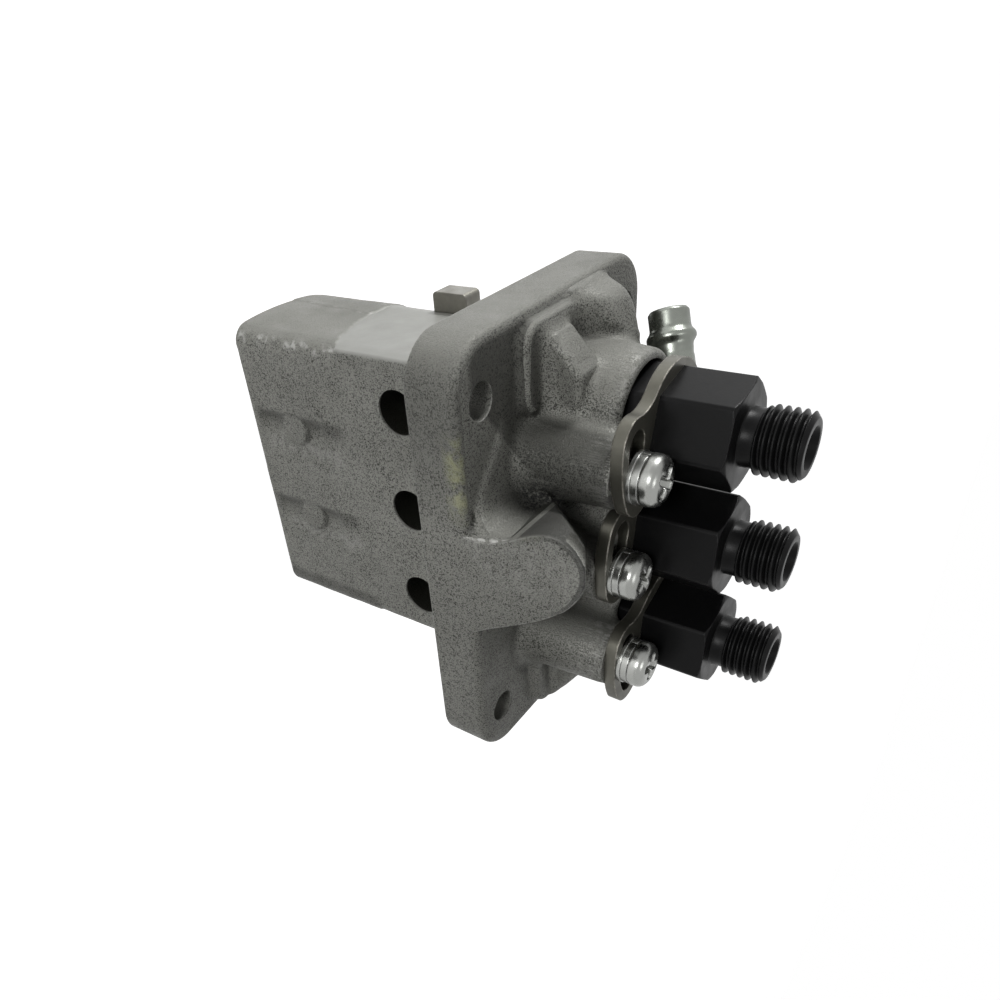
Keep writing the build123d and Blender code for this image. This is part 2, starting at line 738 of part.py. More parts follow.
# Barrels, with inlet ports, and the plungers that slide and turn in them
for number, x in enumerate(element_x, 1):
    axis = Axis((x, row_y, 0), (0, 0, 1))
    with BuildPart() as barrel:
        with BuildSketch(upright(x, row_y)):
            with BuildLine():
                Polyline(
                    (plunger_radius + running_play, barrel_foot_z),
                    (barrel_shank_radius, barrel_foot_z),
                    (barrel_shank_radius, barrel_seat_z),
                    (barrel_head_radius, barrel_seat_z),
                    (barrel_head_radius, barrel_top_z),
                    (plunger_radius + running_play, barrel_top_z),
                    close=True,
                )
            make_face()
        revolve(axis=axis)
        with BuildSketch(Plane.XZ.offset(-row_y - barrel_head_radius)):
            with Locations((x, port_z)):
                Circle(port_diameter / 2)
        extrude(amount=2 * barrel_head_radius, mode=Mode.SUBTRACT)
    save(barrel.part, f"barrel_{number}")

    foot_low = tappet_top_z - plunger_foot_height - seat_play
    with BuildPart() as plunger:
        with BuildSketch(upright(x, row_y)):
            with BuildLine():
                Polyline(
                    (0, foot_low),
                    (plunger_radius, foot_low),
                    (plunger_radius, foot_low + plunger_foot_height),
                    (plunger_neck_radius, foot_low + plunger_foot_height),
                    (plunger_neck_radius, tappet_top_z + lower_seat_thickness + seat_play),
                    (plunger_radius, tappet_top_z + lower_seat_thickness + seat_play),
                    (plunger_radius, plunger_top_z),
                    (0, plunger_top_z),
                    close=True,
                )
            make_face()
        revolve(axis=axis)
        with BuildSketch(above(x, row_y, vane_z)):
            Rectangle(2 * vane_reach, vane_thickness)
        extrude(amount=vane_height)
        # Control groove: a ring groove, an axial slot and a slanting spill edge above it
        with BuildSketch(above(x, row_y, helix_low_z)):
            Circle(plunger_radius)
            Circle(plunger_radius - helix_depth, mode=Mode.SUBTRACT)
        extrude(amount=1.5, mode=Mode.SUBTRACT)
        with BuildSketch(Plane.YZ.offset(x + plunger_radius - helix_depth)):
            with BuildLine():
                Polyline(
                    (row_y - plunger_radius, helix_low_z),
                    (row_y + plunger_radius, helix_low_z),
                    (row_y + plunger_radius, helix_low_z + 1.5),
                    (row_y - plunger_radius, helix_top_z - 1.5),
                    close=True,
                )
            make_face()
        extrude(amount=helix_depth + 1, mode=Mode.SUBTRACT)
    save(plunger.part, f"plunger_{number}")

    # Control sleeve round the barrel, slotted for the plunger's vane, with an arm to the rack
    with BuildPart() as sleeve:
        with BuildSketch(above(x, row_y, sleeve_foot_z)):
            Circle(sleeve_radius)
        extrude(amount=sleeve_top_z - sleeve_foot_z)
        with BuildSketch(above(x, row_y, arm_z - arm_height / 2)):
            with Locations((0, arm_reach / 2)):
                Rectangle(arm_width, arm_reach)
            with Locations((0, arm_reach)):
                Circle(arm_ball)
        extrude(amount=arm_height)
        with BuildSketch(above(x, row_y, sleeve_foot_z)):
            Circle(barrel_shank_radius + sleeve_play)
        extrude(amount=sleeve_top_z - sleeve_foot_z, mode=Mode.SUBTRACT)
        with BuildSketch(above(x, row_y, sleeve_foot_z)):
            Rectangle(2 * sleeve_radius + 1, vane_thickness + 2 * seat_play)
        extrude(amount=barrel_foot_z - sleeve_foot_z - 0.5, mode=Mode.SUBTRACT)
    save(sleeve.part, f"control_sleeve_{number}")

    # Spring seats above and below the plunger spring
    save(
        ring_piece(x, row_y, seat_step_z - upper_seat_thickness, upper_seat_thickness,
                   tappet_bore_radius - seat_play, sleeve_radius + 2 * seat_play),
        f"upper_spring_seat_{number}",
    )
    with BuildPart() as lower_seat:
        with BuildSketch(above(x, row_y, tappet_top_z)):
            Circle(tappet_bore_radius - 4 * seat_play)
            Circle(plunger_neck_radius + 2 * seat_play, mode=Mode.SUBTRACT)
            with Locations((0, -tappet_bore_radius / 2)):
                Rectangle(2 * (plunger_neck_radius + 2 * seat_play), tappet_bore_radius, mode=Mode.SUBTRACT)
        extrude(amount=lower_seat_thickness)
    save(lower_seat.part, f"lower_spring_seat_{number}")

    # Tappet, with a pocket for its roller and a slot for its guide pin
    tappet_radius = tappet_bore_radius - tappet_play
    tappet_low_z = tappet_top_z - tappet_height
    with BuildPart() as tappet:
        with BuildSketch(above(x, row_y, tappet_low_z)):
            Circle(tappet_radius)
        extrude(amount=tappet_height)
        chamfer(tappet.edges().filter_by(GeomType.CIRCLE), 0.5)
        with BuildSketch(above(x, row_y, tappet_top_z)):
            Circle(plunger_radius + 2 * seat_play)
        extrude(amount=-(plunger_foot_height + 2 * seat_play), mode=Mode.SUBTRACT)
        with BuildSketch(above(x, row_y, tappet_low_z)):
            Rectangle(roller_length + 2 * roller_room, 2 * (roller_radius + roller_room))
        extrude(amount=roller_z + roller_radius + roller_room - tappet_low_z, mode=Mode.SUBTRACT)
        with BuildSketch(Plane.YZ.offset(x - pin_length / 2)):
            with Locations((row_y, roller_z)):
                Circle(pin_radius + running_play)
        extrude(amount=pin_length, mode=Mode.SUBTRACT)
        slot_top = guide_pin_z + guide_pin_radius + guide_play
        slot_low = guide_pin_z - guide_pin_radius - guide_play - plunger_stroke
        with BuildSketch(Plane.XZ.offset(-row_y - tappet_bore_radius)):
            with Locations((x, (slot_top + slot_low) / 2)):
                SlotOverall(slot_top - slot_low, 2 * (guide_pin_radius + guide_play), rotation=90)
        extrude(amount=tappet_bore_radius - guide_pin_reach + seat_play, mode=Mode.SUBTRACT)
    save(tappet.part, f"tappet_{number}")

    # Roller, its bush and its pin, along the camshaft's direction
    bush_radius = pin_radius + running_play + bush_wall
    with BuildPart() as roller:
        with BuildSketch(Plane.YZ.offset(x - roller_length / 2)):
            with Locations((row_y, roller_z)):
                Circle(roller_radius)
                Circle(bush_radius + running_play, mode=Mode.SUBTRACT)
        extrude(amount=roller_length)
        chamfer(roller.edges().filter_by(GeomType.CIRCLE).group_by(SortBy.RADIUS)[-1], 0.4)
    save(roller.part, f"roller_{number}")
    with BuildPart() as bush:
        with BuildSketch(Plane.YZ.offset(x - roller_length / 2 + seat_play)):
            with Locations((row_y, roller_z)):
                Circle(bush_radius)
                Circle(pin_radius + running_play, mode=Mode.SUBTRACT)
        extrude(amount=roller_length - 2 * seat_play)
    save(bush.part, f"roller_bush_{number}")
    with BuildPart() as pin:
        with BuildSketch(Plane.YZ.offset(x - pin_length / 2)):
            with Locations((row_y, roller_z)):
                Circle(pin_radius)
        extrude(amount=pin_length)
    save(pin.part, f"roller_pin_{number}")

# Guide pins that stop the tappets turning and hold them in
with BuildPart() as guide_pins:
    for x in element_x:
        with BuildSketch(Plane.XZ.offset(-body_far_y + 0.3)):
            with Locations((x, guide_pin_z)):
                Circle(guide_pin_radius)
        extrude(amount=body_depth / 2 - 0.3 - guide_pin_reach)
save(guide_pins.part, "tappet_guide_pins")

# Control rack, with a notch for each sleeve's arm
rack_left = -body_length / 2 - rack_out
rack_right = body_length / 2 - rack_end_room
with BuildPart() as rack:
    with BuildSketch(Plane.YZ.offset(rack_left)):
        with Locations(((rack_near_y + rack_far_y) / 2, arm_z)):
            Rectangle(rack_thickness, rack_height)
    extrude(amount=rack_right - rack_left)
    fillet(rack.edges().filter_by(Axis.Y), 1)
    for x in element_x:
        with BuildSketch(above(x, row_y, rack_low_z)):
            with Locations((0, arm_reach)):
                Circle(arm_ball + notch_play)
                Rectangle(2 * (arm_ball + notch_play), 2 * (arm_reach + row_y - rack_near_y))
        extrude(amount=rack_height, mode=Mode.SUBTRACT)
save(rack.part, "control_rack")

# Plug in the drilled end of the fuel gallery
with BuildPart() as plug:
    with BuildSketch(Plane.YZ.offset(body_length / 2 - plug_recess - plug_length)):
        with Locations((gallery_y, gallery_z)):
            Circle(gallery_radius)
    extrude(amount=plug_length)
save(plug.part, "gallery_plug")

# Inlet pipe: up out of its boss, round a bend and along to the hose end
heading = Vector(cos(radians(pipe_heading)), sin(radians(pipe_heading)), 0)
turn = radians(pipe_turn)
pipe_start = Vector(pipe_x, pipe_y, pipe_boss_top - pipe_depth)
bend_start = Vector(pipe_x, pipe_y, pipe_boss_top + 1)
bend_end = bend_start + heading * (pipe_bend_radius * (1 - cos(turn))) + Vector(0, 0, pipe_bend_radius * sin(turn))
pipe_direction = heading * sin(turn) + Vector(0, 0, cos(turn))
pipe_end = bend_end + pipe_direction * pipe_straight
bend_middle = (
    bend_start + heading * (pipe_bend_radius * (1 - cos(turn / 2))) + Vector(0, 0, pipe_bend_radius * sin(turn / 2))
)
with BuildPart() as pipe:
    with BuildLine():
        Line(pipe_start, bend_start)
        ThreePointArc(bend_start, bend_middle, bend_end)
        Line(bend_end, pipe_end)
    with BuildSketch(above(pipe_x, pipe_y, pipe_start.Z)):
        Circle(pipe_radius)
        Circle(pipe_radius - pipe_wall, mode=Mode.SUBTRACT)
    sweep()
    side = pipe_direction.cross(Vector(0, 0, 1)).normalized()
    bead_middle = pipe_end - pipe_direction * bead_back
    with BuildSketch(Plane(origin=bead_middle, x_dir=pipe_direction, z_dir=side)):
        with BuildLine():
            Spline(
                (-bead_width / 2, pipe_radius - 0.1), (0, bead_radius), (bead_width / 2, pipe_radius - 0.1),
            )
            Line((bead_width / 2, pipe_radius - 0.1), (-bead_width / 2, pipe_radius - 0.1))
        make_face()
    revolve(axis=Axis(bead_middle, pipe_direction))
save(pipe.part, "inlet_pipe")
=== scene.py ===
import json
import math

import bpy
import bmesh
import numpy as np
from mathutils import Matrix


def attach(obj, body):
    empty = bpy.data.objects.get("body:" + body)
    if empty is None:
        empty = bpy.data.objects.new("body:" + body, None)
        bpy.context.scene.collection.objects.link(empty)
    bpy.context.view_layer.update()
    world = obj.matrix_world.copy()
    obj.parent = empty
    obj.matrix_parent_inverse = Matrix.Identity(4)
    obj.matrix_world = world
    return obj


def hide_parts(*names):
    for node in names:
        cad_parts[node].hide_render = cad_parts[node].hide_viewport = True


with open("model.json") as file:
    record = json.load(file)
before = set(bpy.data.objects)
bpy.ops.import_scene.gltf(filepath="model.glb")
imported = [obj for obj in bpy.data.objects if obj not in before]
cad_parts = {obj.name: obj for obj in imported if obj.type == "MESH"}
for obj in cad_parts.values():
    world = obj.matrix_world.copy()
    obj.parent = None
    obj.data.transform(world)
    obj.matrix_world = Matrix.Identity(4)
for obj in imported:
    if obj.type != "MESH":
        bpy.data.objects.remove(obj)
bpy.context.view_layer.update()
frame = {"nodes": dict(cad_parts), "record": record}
nodes = frame["nodes"]
print("frame loaded:", len(nodes), "nodes")

# Lengths in this script are millimetres, and become metres when a mesh is made
elementX = [-22.0, 0.0, 22.0]
rowY = 3.5
flangeTop = 10.0
plateLevels = [28.6, 26.1, 28.6]
screwReach = 14.5  # from a tower's axis to the axis of its screw
screwAngles = (-74.0, -82.0, -90.0)
screwSpots = []
for x, angle in zip(elementX, np.radians(screwAngles)):
    screwSpots.append((x + screwReach * math.cos(angle), rowY + screwReach * math.sin(angle)))
inletSpot = (-12.5, 17.0)


# Shader nodes

def newNode(tree, kind, **settings):
    node = tree.nodes.new(kind)
    for key, value in settings.items():
        setattr(node, key, value)
    return node


def feed(socket, value):
    # Sets a socket to a number or a tuple, or links it to the given output
    if isinstance(value, (int, float, tuple)):
        socket.default_value = value
    else:
        socket.id_data.links.new(value, socket)


def feedAll(node, values):
    for key, value in values.items():
        feed(node.inputs[key], value)


def noise(tree, vector, scale, detail, roughness):
    node = newNode(tree, "ShaderNodeTexNoise")
    feedAll(node, {"Vector": vector, "Scale": scale, "Detail": detail, "Roughness": roughness})
    return node.outputs["Fac"]


def spread(tree, value, low, high, toLow=0.0, toHigh=1.0):
    # Stretches a value from one range to another, clamped at both ends
    node = newNode(tree, "ShaderNodeMapRange")
    feedAll(node, {"Value": value, "From Min": low, "From Max": high, "To Min": toLow, "To Max": toHigh})
    return node.outputs[0]


def maths(tree, operation, *values):
    node = newNode(tree, "ShaderNodeMath", operation=operation)
    feedAll(node, dict(enumerate(values)))
    return node.outputs[0]


def times(tree, value, *others):
    for other in others:
        value = maths(tree, "MULTIPLY", value, other)
    return value


def blendColour(tree, share, first, second, kind="MIX"):
    node = newNode(tree, "ShaderNodeMix", data_type="RGBA", blend_type=kind)
    feedAll(node, {0: share, 6: first, 7: second})  # the sockets of a mix of colours
    return node.outputs[2]


# Camera, floor and light

cameraPlace = {
    "position": (-84.93, -125.77, 83.84),
    "right": (0.09699, 0.59579, 0.79727),
    "down": (0.79488, -0.52844, 0.29819),
    "forward": (0.59896, 0.60481, -0.52483),
    "focalPixels": 811.2,
    "axisPixel": (442.4, 615.3),
}


def putInPlace(name, data, place, axes):
    # Links a new object whose own three axes point the given ways, with its place in millimetres
    thing = bpy.data.objects.new(name, data)
    bpy.context.scene.collection.objects.link(thing)
    matrix = np.eye(4)
    matrix[:3, :3] = np.stack(axes, axis=1)
    matrix[:3, 3] = np.array(place) * 0.001
    thing.matrix_world = Matrix(matrix.tolist())
    return thing


def setCamera(place):
    data = bpy.data.cameras.new("photoCamera")
    right, down, forward = (np.array(place[k]) for k in ("right", "down", "forward"))
    bpy.context.scene.camera = putInPlace("photoCamera", data, place["position"], (right, -down, -forward))
    data.sensor_width = 36.0
    data.lens = place["focalPixels"] / 1000 * 36.0
    data.shift_x = (500 - place["axisPixel"][0]) / 1000
    data.shift_y = (place["axisPixel"][1] - 500) / 1000
    data.clip_start, data.clip_end = 0.01, 20.0


setCamera(cameraPlace)

studio = {
    "keyPlace": (-620, 310, 100), "keySize": 200, "keyPower": 3.9,
    "frontPlace": (-330, -620, 105), "frontSize": 200, "frontPower": 2.25,
    "outletPlace": (-70, -245, 650), "outletSize": 260, "outletPower": 0.65,
    "worldDiffuse": 0.02, "floorLift": 0.95, "floorLevel": -70.05, "floorHalf": 3000.0,
}


def addLamp(name, place, size, power, target=(0, 0, -5)):
    lamp = bpy.data.lights.new(name, "AREA")
    lamp.shape = "DISK"
    lamp.size = size * 0.001
    lamp.energy = power
    back = np.array(place, float) - np.array(target, float)
    back /= np.linalg.norm(back)
    side = np.cross((0, 0, 1), back)
    side /= np.linalg.norm(side)
    putInPlace(name, lamp, place, (side, np.cross(back, side), back))


def seenDirectly(tree):
    # One for rays from the camera, off glossy surfaces or through clear ones, and nought for the rest
    rays = newNode(tree, "ShaderNodeLightPath").outputs
    seen = maths(tree, "MAXIMUM", rays["Is Camera Ray"], rays["Is Glossy Ray"])
    return maths(tree, "MAXIMUM", seen, rays["Is Transmission Ray"])


def setStudio(s):
    for lamp in ("key", "front", "outlet"):
        addLamp(lamp + "Lamp", s[lamp + "Place"], s[lamp + "Size"], s[lamp + "Power"])
    world = bpy.data.worlds.new("paleRoom")
    bpy.context.scene.world = world
    world.use_nodes = True
    tree = world.node_tree
    tree.nodes.clear()
    strength = spread(tree, seenDirectly(tree), 0.0, 1.0, s["worldDiffuse"], 1.0)
    shade = newNode(tree, "ShaderNodeBackground")
    feedAll(shade, {"Color": (1, 1, 1, 1), "Strength": strength})
    feed(newNode(tree, "ShaderNodeOutputWorld").inputs["Surface"], shade.outputs[0])

    half, level = s["floorHalf"] * 0.001, s["floorLevel"] * 0.001
    mesh = bpy.data.meshes.new("floor")
    corners = [(-half, -half, level), (half, -half, level), (half, half, level), (-half, half, level)]
    mesh.from_pydata(corners, [], [(0, 1, 2, 3)])
    floor = bpy.data.objects.new("floor", mesh)
    bpy.context.scene.collection.objects.link(floor)
    paint = bpy.data.materials.new("floorPaper")
    paint.use_nodes = True
    tree = paint.node_tree
    shader = tree.nodes["Principled BSDF"]
    feedAll(shader, {"Base Color": (0.86, 0.86, 0.86, 1), "Roughness": 0.9, "Specular IOR Level": 0.1})
    lift = newNode(tree, "ShaderNodeEmission")
    feed(lift.inputs["Strength"], s["floorLift"])
    add = newNode(tree, "ShaderNodeAddShader")
    feedAll(add, {0: shader.outputs[0], 1: lift.outputs[0]})
    mix = newNode(tree, "ShaderNodeMixShader")
    feedAll(mix, {0: seenDirectly(tree), 1: shader.outputs[0], 2: add.outputs[0]})
    feed(tree.nodes["Material Output"].inputs["Surface"], mix.outputs[0])
    mesh.materials.append(paint)
    bpy.context.scene.view_settings.view_transform = "Standard"


setStudio(studio)
print("camera, floor and lamps set")


# Shared surface effects, as node groups

def startGroup(name, inputs, outputs):
    # Each socket's kind follows from its value: a number, a vector of three or a colour of four
    tree = bpy.data.node_groups.new(name, "ShaderNodeTree")
    for direction, sockets in (("INPUT", inputs), ("OUTPUT", outputs)):
        for label, value in sockets.items():
            size = 1 if isinstance(value, float) else len(value)
            kind = {1: "NodeSocketFloat", 3: "NodeSocketVector", 4: "NodeSocketColor"}[size]
            socket = tree.interface.new_socket(name=label, in_out=direction, socket_type=kind)
            socket.default_value = value
    return tree, newNode(tree, "NodeGroupInput"), newNode(tree, "NodeGroupOutput")


def makeCastGrain():
    # Dark pits and pale grains of a sand casting, with broad patches and a matching height
    tree, given, result = startGroup(
        "castGrain",
        {"Vector": (0, 0, 0), "Light": (0.3, 0.3, 0.29, 1), "Dark": (0.05, 0.05, 0.045, 1), "Pits": 0.6,
         "Size": 2600.0},
        {"Color": (0, 0, 0, 1), "Height": 0.0, "Rough": 0.0},
    )
    vector = given.outputs["Vector"]
    fine = noise(tree, vector, given.outputs["Size"], 1.5, 0.6)
    coarse = noise(tree, vector, times(tree, given.outputs["Size"], 0.45), 2.0, 0.6)
    patch = noise(tree, vector, 160.0, 3.0, 0.55)
    broad = noise(tree, vector, 34.0, 2.0, 0.5)
    speckle = maths(tree, "ADD", times(tree, fine, 0.65), times(tree, coarse, 0.35))
    pits = spread(tree, speckle, 0.47, 0.60)
    clump = spread(tree, patch, 0.35, 0.65, 0.82, 1.0)
    share = times(tree, pits, clump, given.outputs["Pits"])
    paleShare = spread(tree, coarse, 0.42, 0.62, 0.0, 0.25)
    pale = blendColour(tree, paleShare, given.outputs["Light"], (0.34, 0.34, 0.315, 1))
    tone = blendColour(tree, spread(tree, broad, 0.35, 0.68, 0.0, 0.45), pale, (0.11, 0.11, 0.098, 1))
    colour = blendColour(tree, share, tone, given.outputs["Dark"])
    height = maths(tree, "SUBTRACT", times(tree, coarse, 0.6), times(tree, pits, 0.5))
    rough = spread(tree, patch, 0.3, 0.7, 0.42, 0.6)
    feedAll(result, {"Color": colour, "Height": height, "Rough": rough})
    return tree


def makeEdgeWear():
    # A mask of the edges: where the rounded normal leaves the true one, broken up by noise
    tree, given, result = startGroup(
        "edgeWear",
        {"Vector": (0, 0, 0), "Radius": 0.0004, "Amount": 0.8},
        {"Mask": 0.0, "Normal": (0, 0, 0)},
    )
    bevel = newNode(tree, "ShaderNodeBevel", samples=4)
    feed(bevel.inputs["Radius"], given.outputs["Radius"])
    shape = newNode(tree, "ShaderNodeNewGeometry")
    dot = newNode(tree, "ShaderNodeVectorMath", operation="DOT_PRODUCT")
    feedAll(dot, {0: bevel.outputs[0], 1: shape.outputs["True Normal"]})
    edge = spread(tree, dot.outputs["Value"], 0.99, 0.86)
    broken = spread(tree, noise(tree, given.outputs["Vector"], 900.0, 3.0, 0.6), 0.35, 0.6)
    mask = times(tree, edge, broken, given.outputs["Amount"])
    feedAll(result, {"Mask": mask, "Normal": bevel.outputs[0]})
    return tree


def makeScuff():
    # Fine streaks and smears of handling: a smear mask, a streak height and a roughness
    tree, given, result = startGroup(
        "scuff",
        {"Vector": (0, 0, 0), "Stretch": (1, 1, 1), "Low": 0.25, "High": 0.5},
        {"Smear": 0.0, "Height": 0.0, "Rough": 0.0},
    )
    scaled = newNode(tree, "ShaderNodeVectorMath", operation="MULTIPLY")
    feedAll(scaled, {0: given.outputs["Vector"], 1: given.outputs["Stretch"]})
    streak = noise(tree, scaled.outputs[0], 900.0, 3.0, 0.6)
    smear = spread(tree, noise(tree, given.outputs["Vector"], 120.0, 4.0, 0.6), 0.42, 0.66)
    handled = maths(tree, "ADD", times(tree, streak, 0.4), times(tree, smear, 0.6))
    rough = spread(tree, handled, 0.1, 0.8, given.outputs["Low"], given.outputs["High"])
    feedAll(result, {"Smear": smear, "Height": streak, "Rough": rough})
    return tree


castGrain = makeCastGrain()
edgeWear = makeEdgeWear()
scuff = makeScuff()


def startMaterial(name):
    material = bpy.data.materials.new(name)
    material.use_nodes = True
    tree = material.node_tree
    shader = tree.nodes["Principled BSDF"]
    place = newNode(tree, "ShaderNodeTexCoord")
    return material, tree, shader, place.outputs["Object"]


def useGroup(tree, group, **values):
    node = newNode(tree, "ShaderNodeGroup", node_tree=group)
    feedAll(node, values)
    return node


def bumpTo(tree, shader, height, distance, strength, normal):
    bump = newNode(tree, "ShaderNodeBump")
    feedAll(bump, {"Distance": distance, "Strength": strength, "Height": height})
    if normal is not None:
        feed(bump.inputs["Normal"], normal)
    feed(shader.inputs["Normal"], bump.outputs[0])


castLook = {
    "light": (0.205, 0.206, 0.186, 1), "dark": (0.018, 0.018, 0.015, 1),
    "machined": (0.26, 0.262, 0.245, 1), "wearAndHighlight": (0.44, 0.44, 0.42, 1),
    "pits": 0.95, "grainSize": 4200.0, "metallic": 0.3, "endShadeLevel": 0.85,
}


# Marks on the solid's own faces, painted shade among them: colour, strength, whether streaky, and the places
# in metres along each axis between which the mark fades in
castPatches = [
    # painted shade on the walls of the bores inside the body
    ((0.012, 0.012, 0.009, 1), 1.0, False,
     [("Y", -0.0134, -0.013399), ("Y", 0.0203, 0.020299), ("Z", -0.0001, -0.000101),
      ("X", -0.0322, -0.032199), ("X", 0.0322, 0.032199)]),
    # the near face darker towards -X
    ((0.05, 0.05, 0.045, 1), 0.45, False, [("X", -0.012, -0.030), ("Y", -0.027, -0.0316)]),
    # painted shade in the hollow behind the tongue
    ((0.03, 0.03, 0.028, 1), 0.8, False,
     [("Y", -0.0312, -0.0298), ("Y", -0.010, -0.012), ("X", 0.002, -0.002), ("Z", 0.0195, 0.019501),
      ("X", -0.0165, -0.016499)]),
    # yellowish stain
    ((0.36, 0.37, 0.20, 1), 0.45, True,
     [("X", -0.031, -0.027), ("X", -0.013, -0.018), ("Z", 0.0062, 0.0085), ("Y", -0.0305, -0.0312)]),
]


def addPatches(tree, vector, colour, patches):
    where = newNode(tree, "ShaderNodeSeparateXYZ")
    feed(where.inputs[0], vector)
    for tint, share, streaky, limits in patches:
        for axis, outside, inside in limits:
            share = times(tree, share, spread(tree, where.outputs[axis], outside, inside))
        if streaky:
            share = times(tree, share, spread(tree, noise(tree, vector, 420.0, 4.0, 0.6), 0.4, 0.6))
        colour = blendColour(tree, share, colour, tint)
    return colour


def makeCastMaterial(name, look, withMarks):
    # Sand cast aluminium, with painted shade on faces towards -X; with marks, it reads the machined, wear
    # and highlight, rough and painted shade attributes of its mesh
    material, tree, shader, vector = startMaterial(name)
    shape = newNode(tree, "ShaderNodeNewGeometry")
    split = newNode(tree, "ShaderNodeSeparateXYZ")
    feed(split.inputs[0], shape.outputs["Normal"])
    towardsX = split.outputs["X"]
    fewer = spread(tree, towardsX, -0.85, -0.35, 0.30, look["pits"])  # faces towards -X have few pits
    grain = useGroup(tree, castGrain, Vector=vector, Light=look["light"], Dark=look["dark"], Pits=fewer,
                     Size=look["grainSize"])
    # painted shade: faces towards -X get a darker colour
    endFaceShade = newNode(tree, "ShaderNodeCombineColor")
    for channel in endFaceShade.inputs:
        feed(channel, spread(tree, towardsX, -0.97, -0.6, look["endShadeLevel"], 1.0))
    colour = blendColour(tree, 1.0, grain.outputs["Color"], endFaceShade.outputs[0], "MULTIPLY")
    rough = grain.outputs["Rough"]
    height = grain.outputs["Height"]
    normal = None
    if withMarks:
        marks = {}
        for label in ("machined", "wearAndHighlight", "rough", "paintedShade"):
            marks[label] = newNode(tree, "ShaderNodeAttribute", attribute_name=label).outputs["Fac"]
        fleck = spread(tree, noise(tree, vector, 700.0, 3.0, 0.65), 0.44, 0.56)
        crumb = spread(tree, noise(tree, vector, 1500.0, 3.0, 0.7), 0.42, 0.56)
        crumbled = times(tree, marks["rough"], crumb)
        colour = blendColour(tree, marks["machined"], colour, look["machined"])
        # lighter where worn, and painted highlights on edges, crests and valley sides
        colour = blendColour(tree, times(tree, marks["wearAndHighlight"], fleck), colour, look["wearAndHighlight"])
        colour = blendColour(tree, crumbled, colour, (0.02, 0.02, 0.02, 1))
        # painted shade in hollows, behind the tongue and in the body's valleys
        colour = blendColour(tree, marks["paintedShade"], colour, (0.14, 0.14, 0.13, 1), "MULTIPLY")
        rough = maths(tree, "SUBTRACT", rough, times(tree, marks["machined"], 0.08))
        unworked = maths(tree, "SUBTRACT", 1.0, times(tree, marks["machined"], 0.85))
        height = maths(tree, "ADD", times(tree, height, unworked), times(tree, crumbled, 2.0))
    else:
        wear = useGroup(tree, edgeWear, Vector=vector, Radius=0.0005, Amount=0.8)
        colour = blendColour(tree, wear.outputs["Mask"], colour, look["wearAndHighlight"])
        # painted shade in the bores and behind the tongue, a darker near face and a stain
        colour = addPatches(tree, vector, colour, castPatches)
        normal = wear.outputs["Normal"]
    feedAll(shader, {"Base Color": colour, "Roughness": rough, "Metallic": look["metallic"],
                     "Specular IOR Level": 0.25})
    bumpTo(tree, shader, height, 0.00022, 0.7, normal)
    return material


def makeSteelMaterial(name, base, wearAndHighlight, low, high, metallic=1.0, edge=0.6, radius=0.0003, stretch=(1, 1, 1),
                      specular=0.5):
    # Plain or coated steel: smears change the tone and the gloss, and the edges are worn through
    material, tree, shader, vector = startMaterial(name)
    marks = useGroup(tree, scuff, Vector=vector, Stretch=stretch, Low=low, High=high)
    wear = useGroup(tree, edgeWear, Vector=vector, Radius=radius, Amount=edge)
    dim = tuple(c * 0.72 for c in base[:3]) + (1,)
    colour = blendColour(tree, marks.outputs["Smear"], base, dim)
    colour = blendColour(tree, wear.outputs["Mask"], colour, wearAndHighlight)
    feedAll(shader, {"Base Color": colour, "Roughness": marks.outputs["Rough"], "Metallic": metallic,
                     "Specular IOR Level": specular})
    bumpTo(tree, shader, marks.outputs["Height"], 0.00004, 0.4, wear.outputs["Normal"])
    return material


castMarked = makeCastMaterial("castAluminiumMarked", castLook, True)
castBody = makeCastMaterial("castAluminiumBody", dict(castLook, light=(0.24, 0.241, 0.218, 1)), True)
slotMaterials = {
    "cast_aluminium": makeCastMaterial("castAluminium", castLook, False),
    "black_oxide_steel": makeSteelMaterial(
        "blackOxide", (0.004, 0.004, 0.0042, 1), (0.05, 0.05, 0.05, 1), 0.28, 0.42, metallic=0.0, edge=0.4,
        radius=0.00022, specular=0.10),
    "plate_steel": makeSteelMaterial(
        "pressedPlate", (0.10, 0.097, 0.080, 1), (0.42, 0.40, 0.36, 1), 0.34, 0.5, metallic=0.75, edge=0.9,
        radius=0.0004),
    "zinc_screws": makeSteelMaterial(
        "zincScrews", (0.31, 0.315, 0.30, 1), (0.7, 0.7, 0.7, 1), 0.2, 0.38, edge=0.5),
    "zinc_pipe": makeSteelMaterial(
        "zincPipe", (0.225, 0.238, 0.215, 1), (0.5, 0.52, 0.48, 1), 0.24, 0.4, edge=0.4),
    "ground_steel": makeSteelMaterial(
        "groundSteel", (0.235, 0.228, 0.20, 1), (0.5, 0.5, 0.48, 1), 0.24, 0.42, edge=0.4,
        stretch=(1, 1, 12)),
    "spring_steel": makeSteelMaterial(
        "springWire", (0.16, 0.16, 0.165, 1), (0.3, 0.3, 0.3, 1), 0.3, 0.45, edge=0.0),
    "bush_bronze": makeSteelMaterial(
        "bushBronze", (0.42, 0.28, 0.13, 1), (0.7, 0.5, 0.25, 1), 0.28, 0.45, edge=0.4),
    "seal_rubber": makeSteelMaterial(
        "sealRubber", (0.02, 0.02, 0.02, 1), (0.04, 0.04, 0.04, 1), 0.5, 0.7, metallic=0.0, edge=0.0),
    "gasket_copper": makeSteelMaterial(
        "gasketCopper", (0.55, 0.26, 0.15, 1), (0.8, 0.45, 0.3, 1), 0.3, 0.5, edge=0.4),
}
for part in frame["record"]["subparts"]:
    mesh = nodes[part["node"]].data
    mesh.materials.clear()
    mesh.materials.append(slotMaterials[part["material_slot"]])
print("materials made:", len(slotMaterials) + 2)


# Grids made into meshes

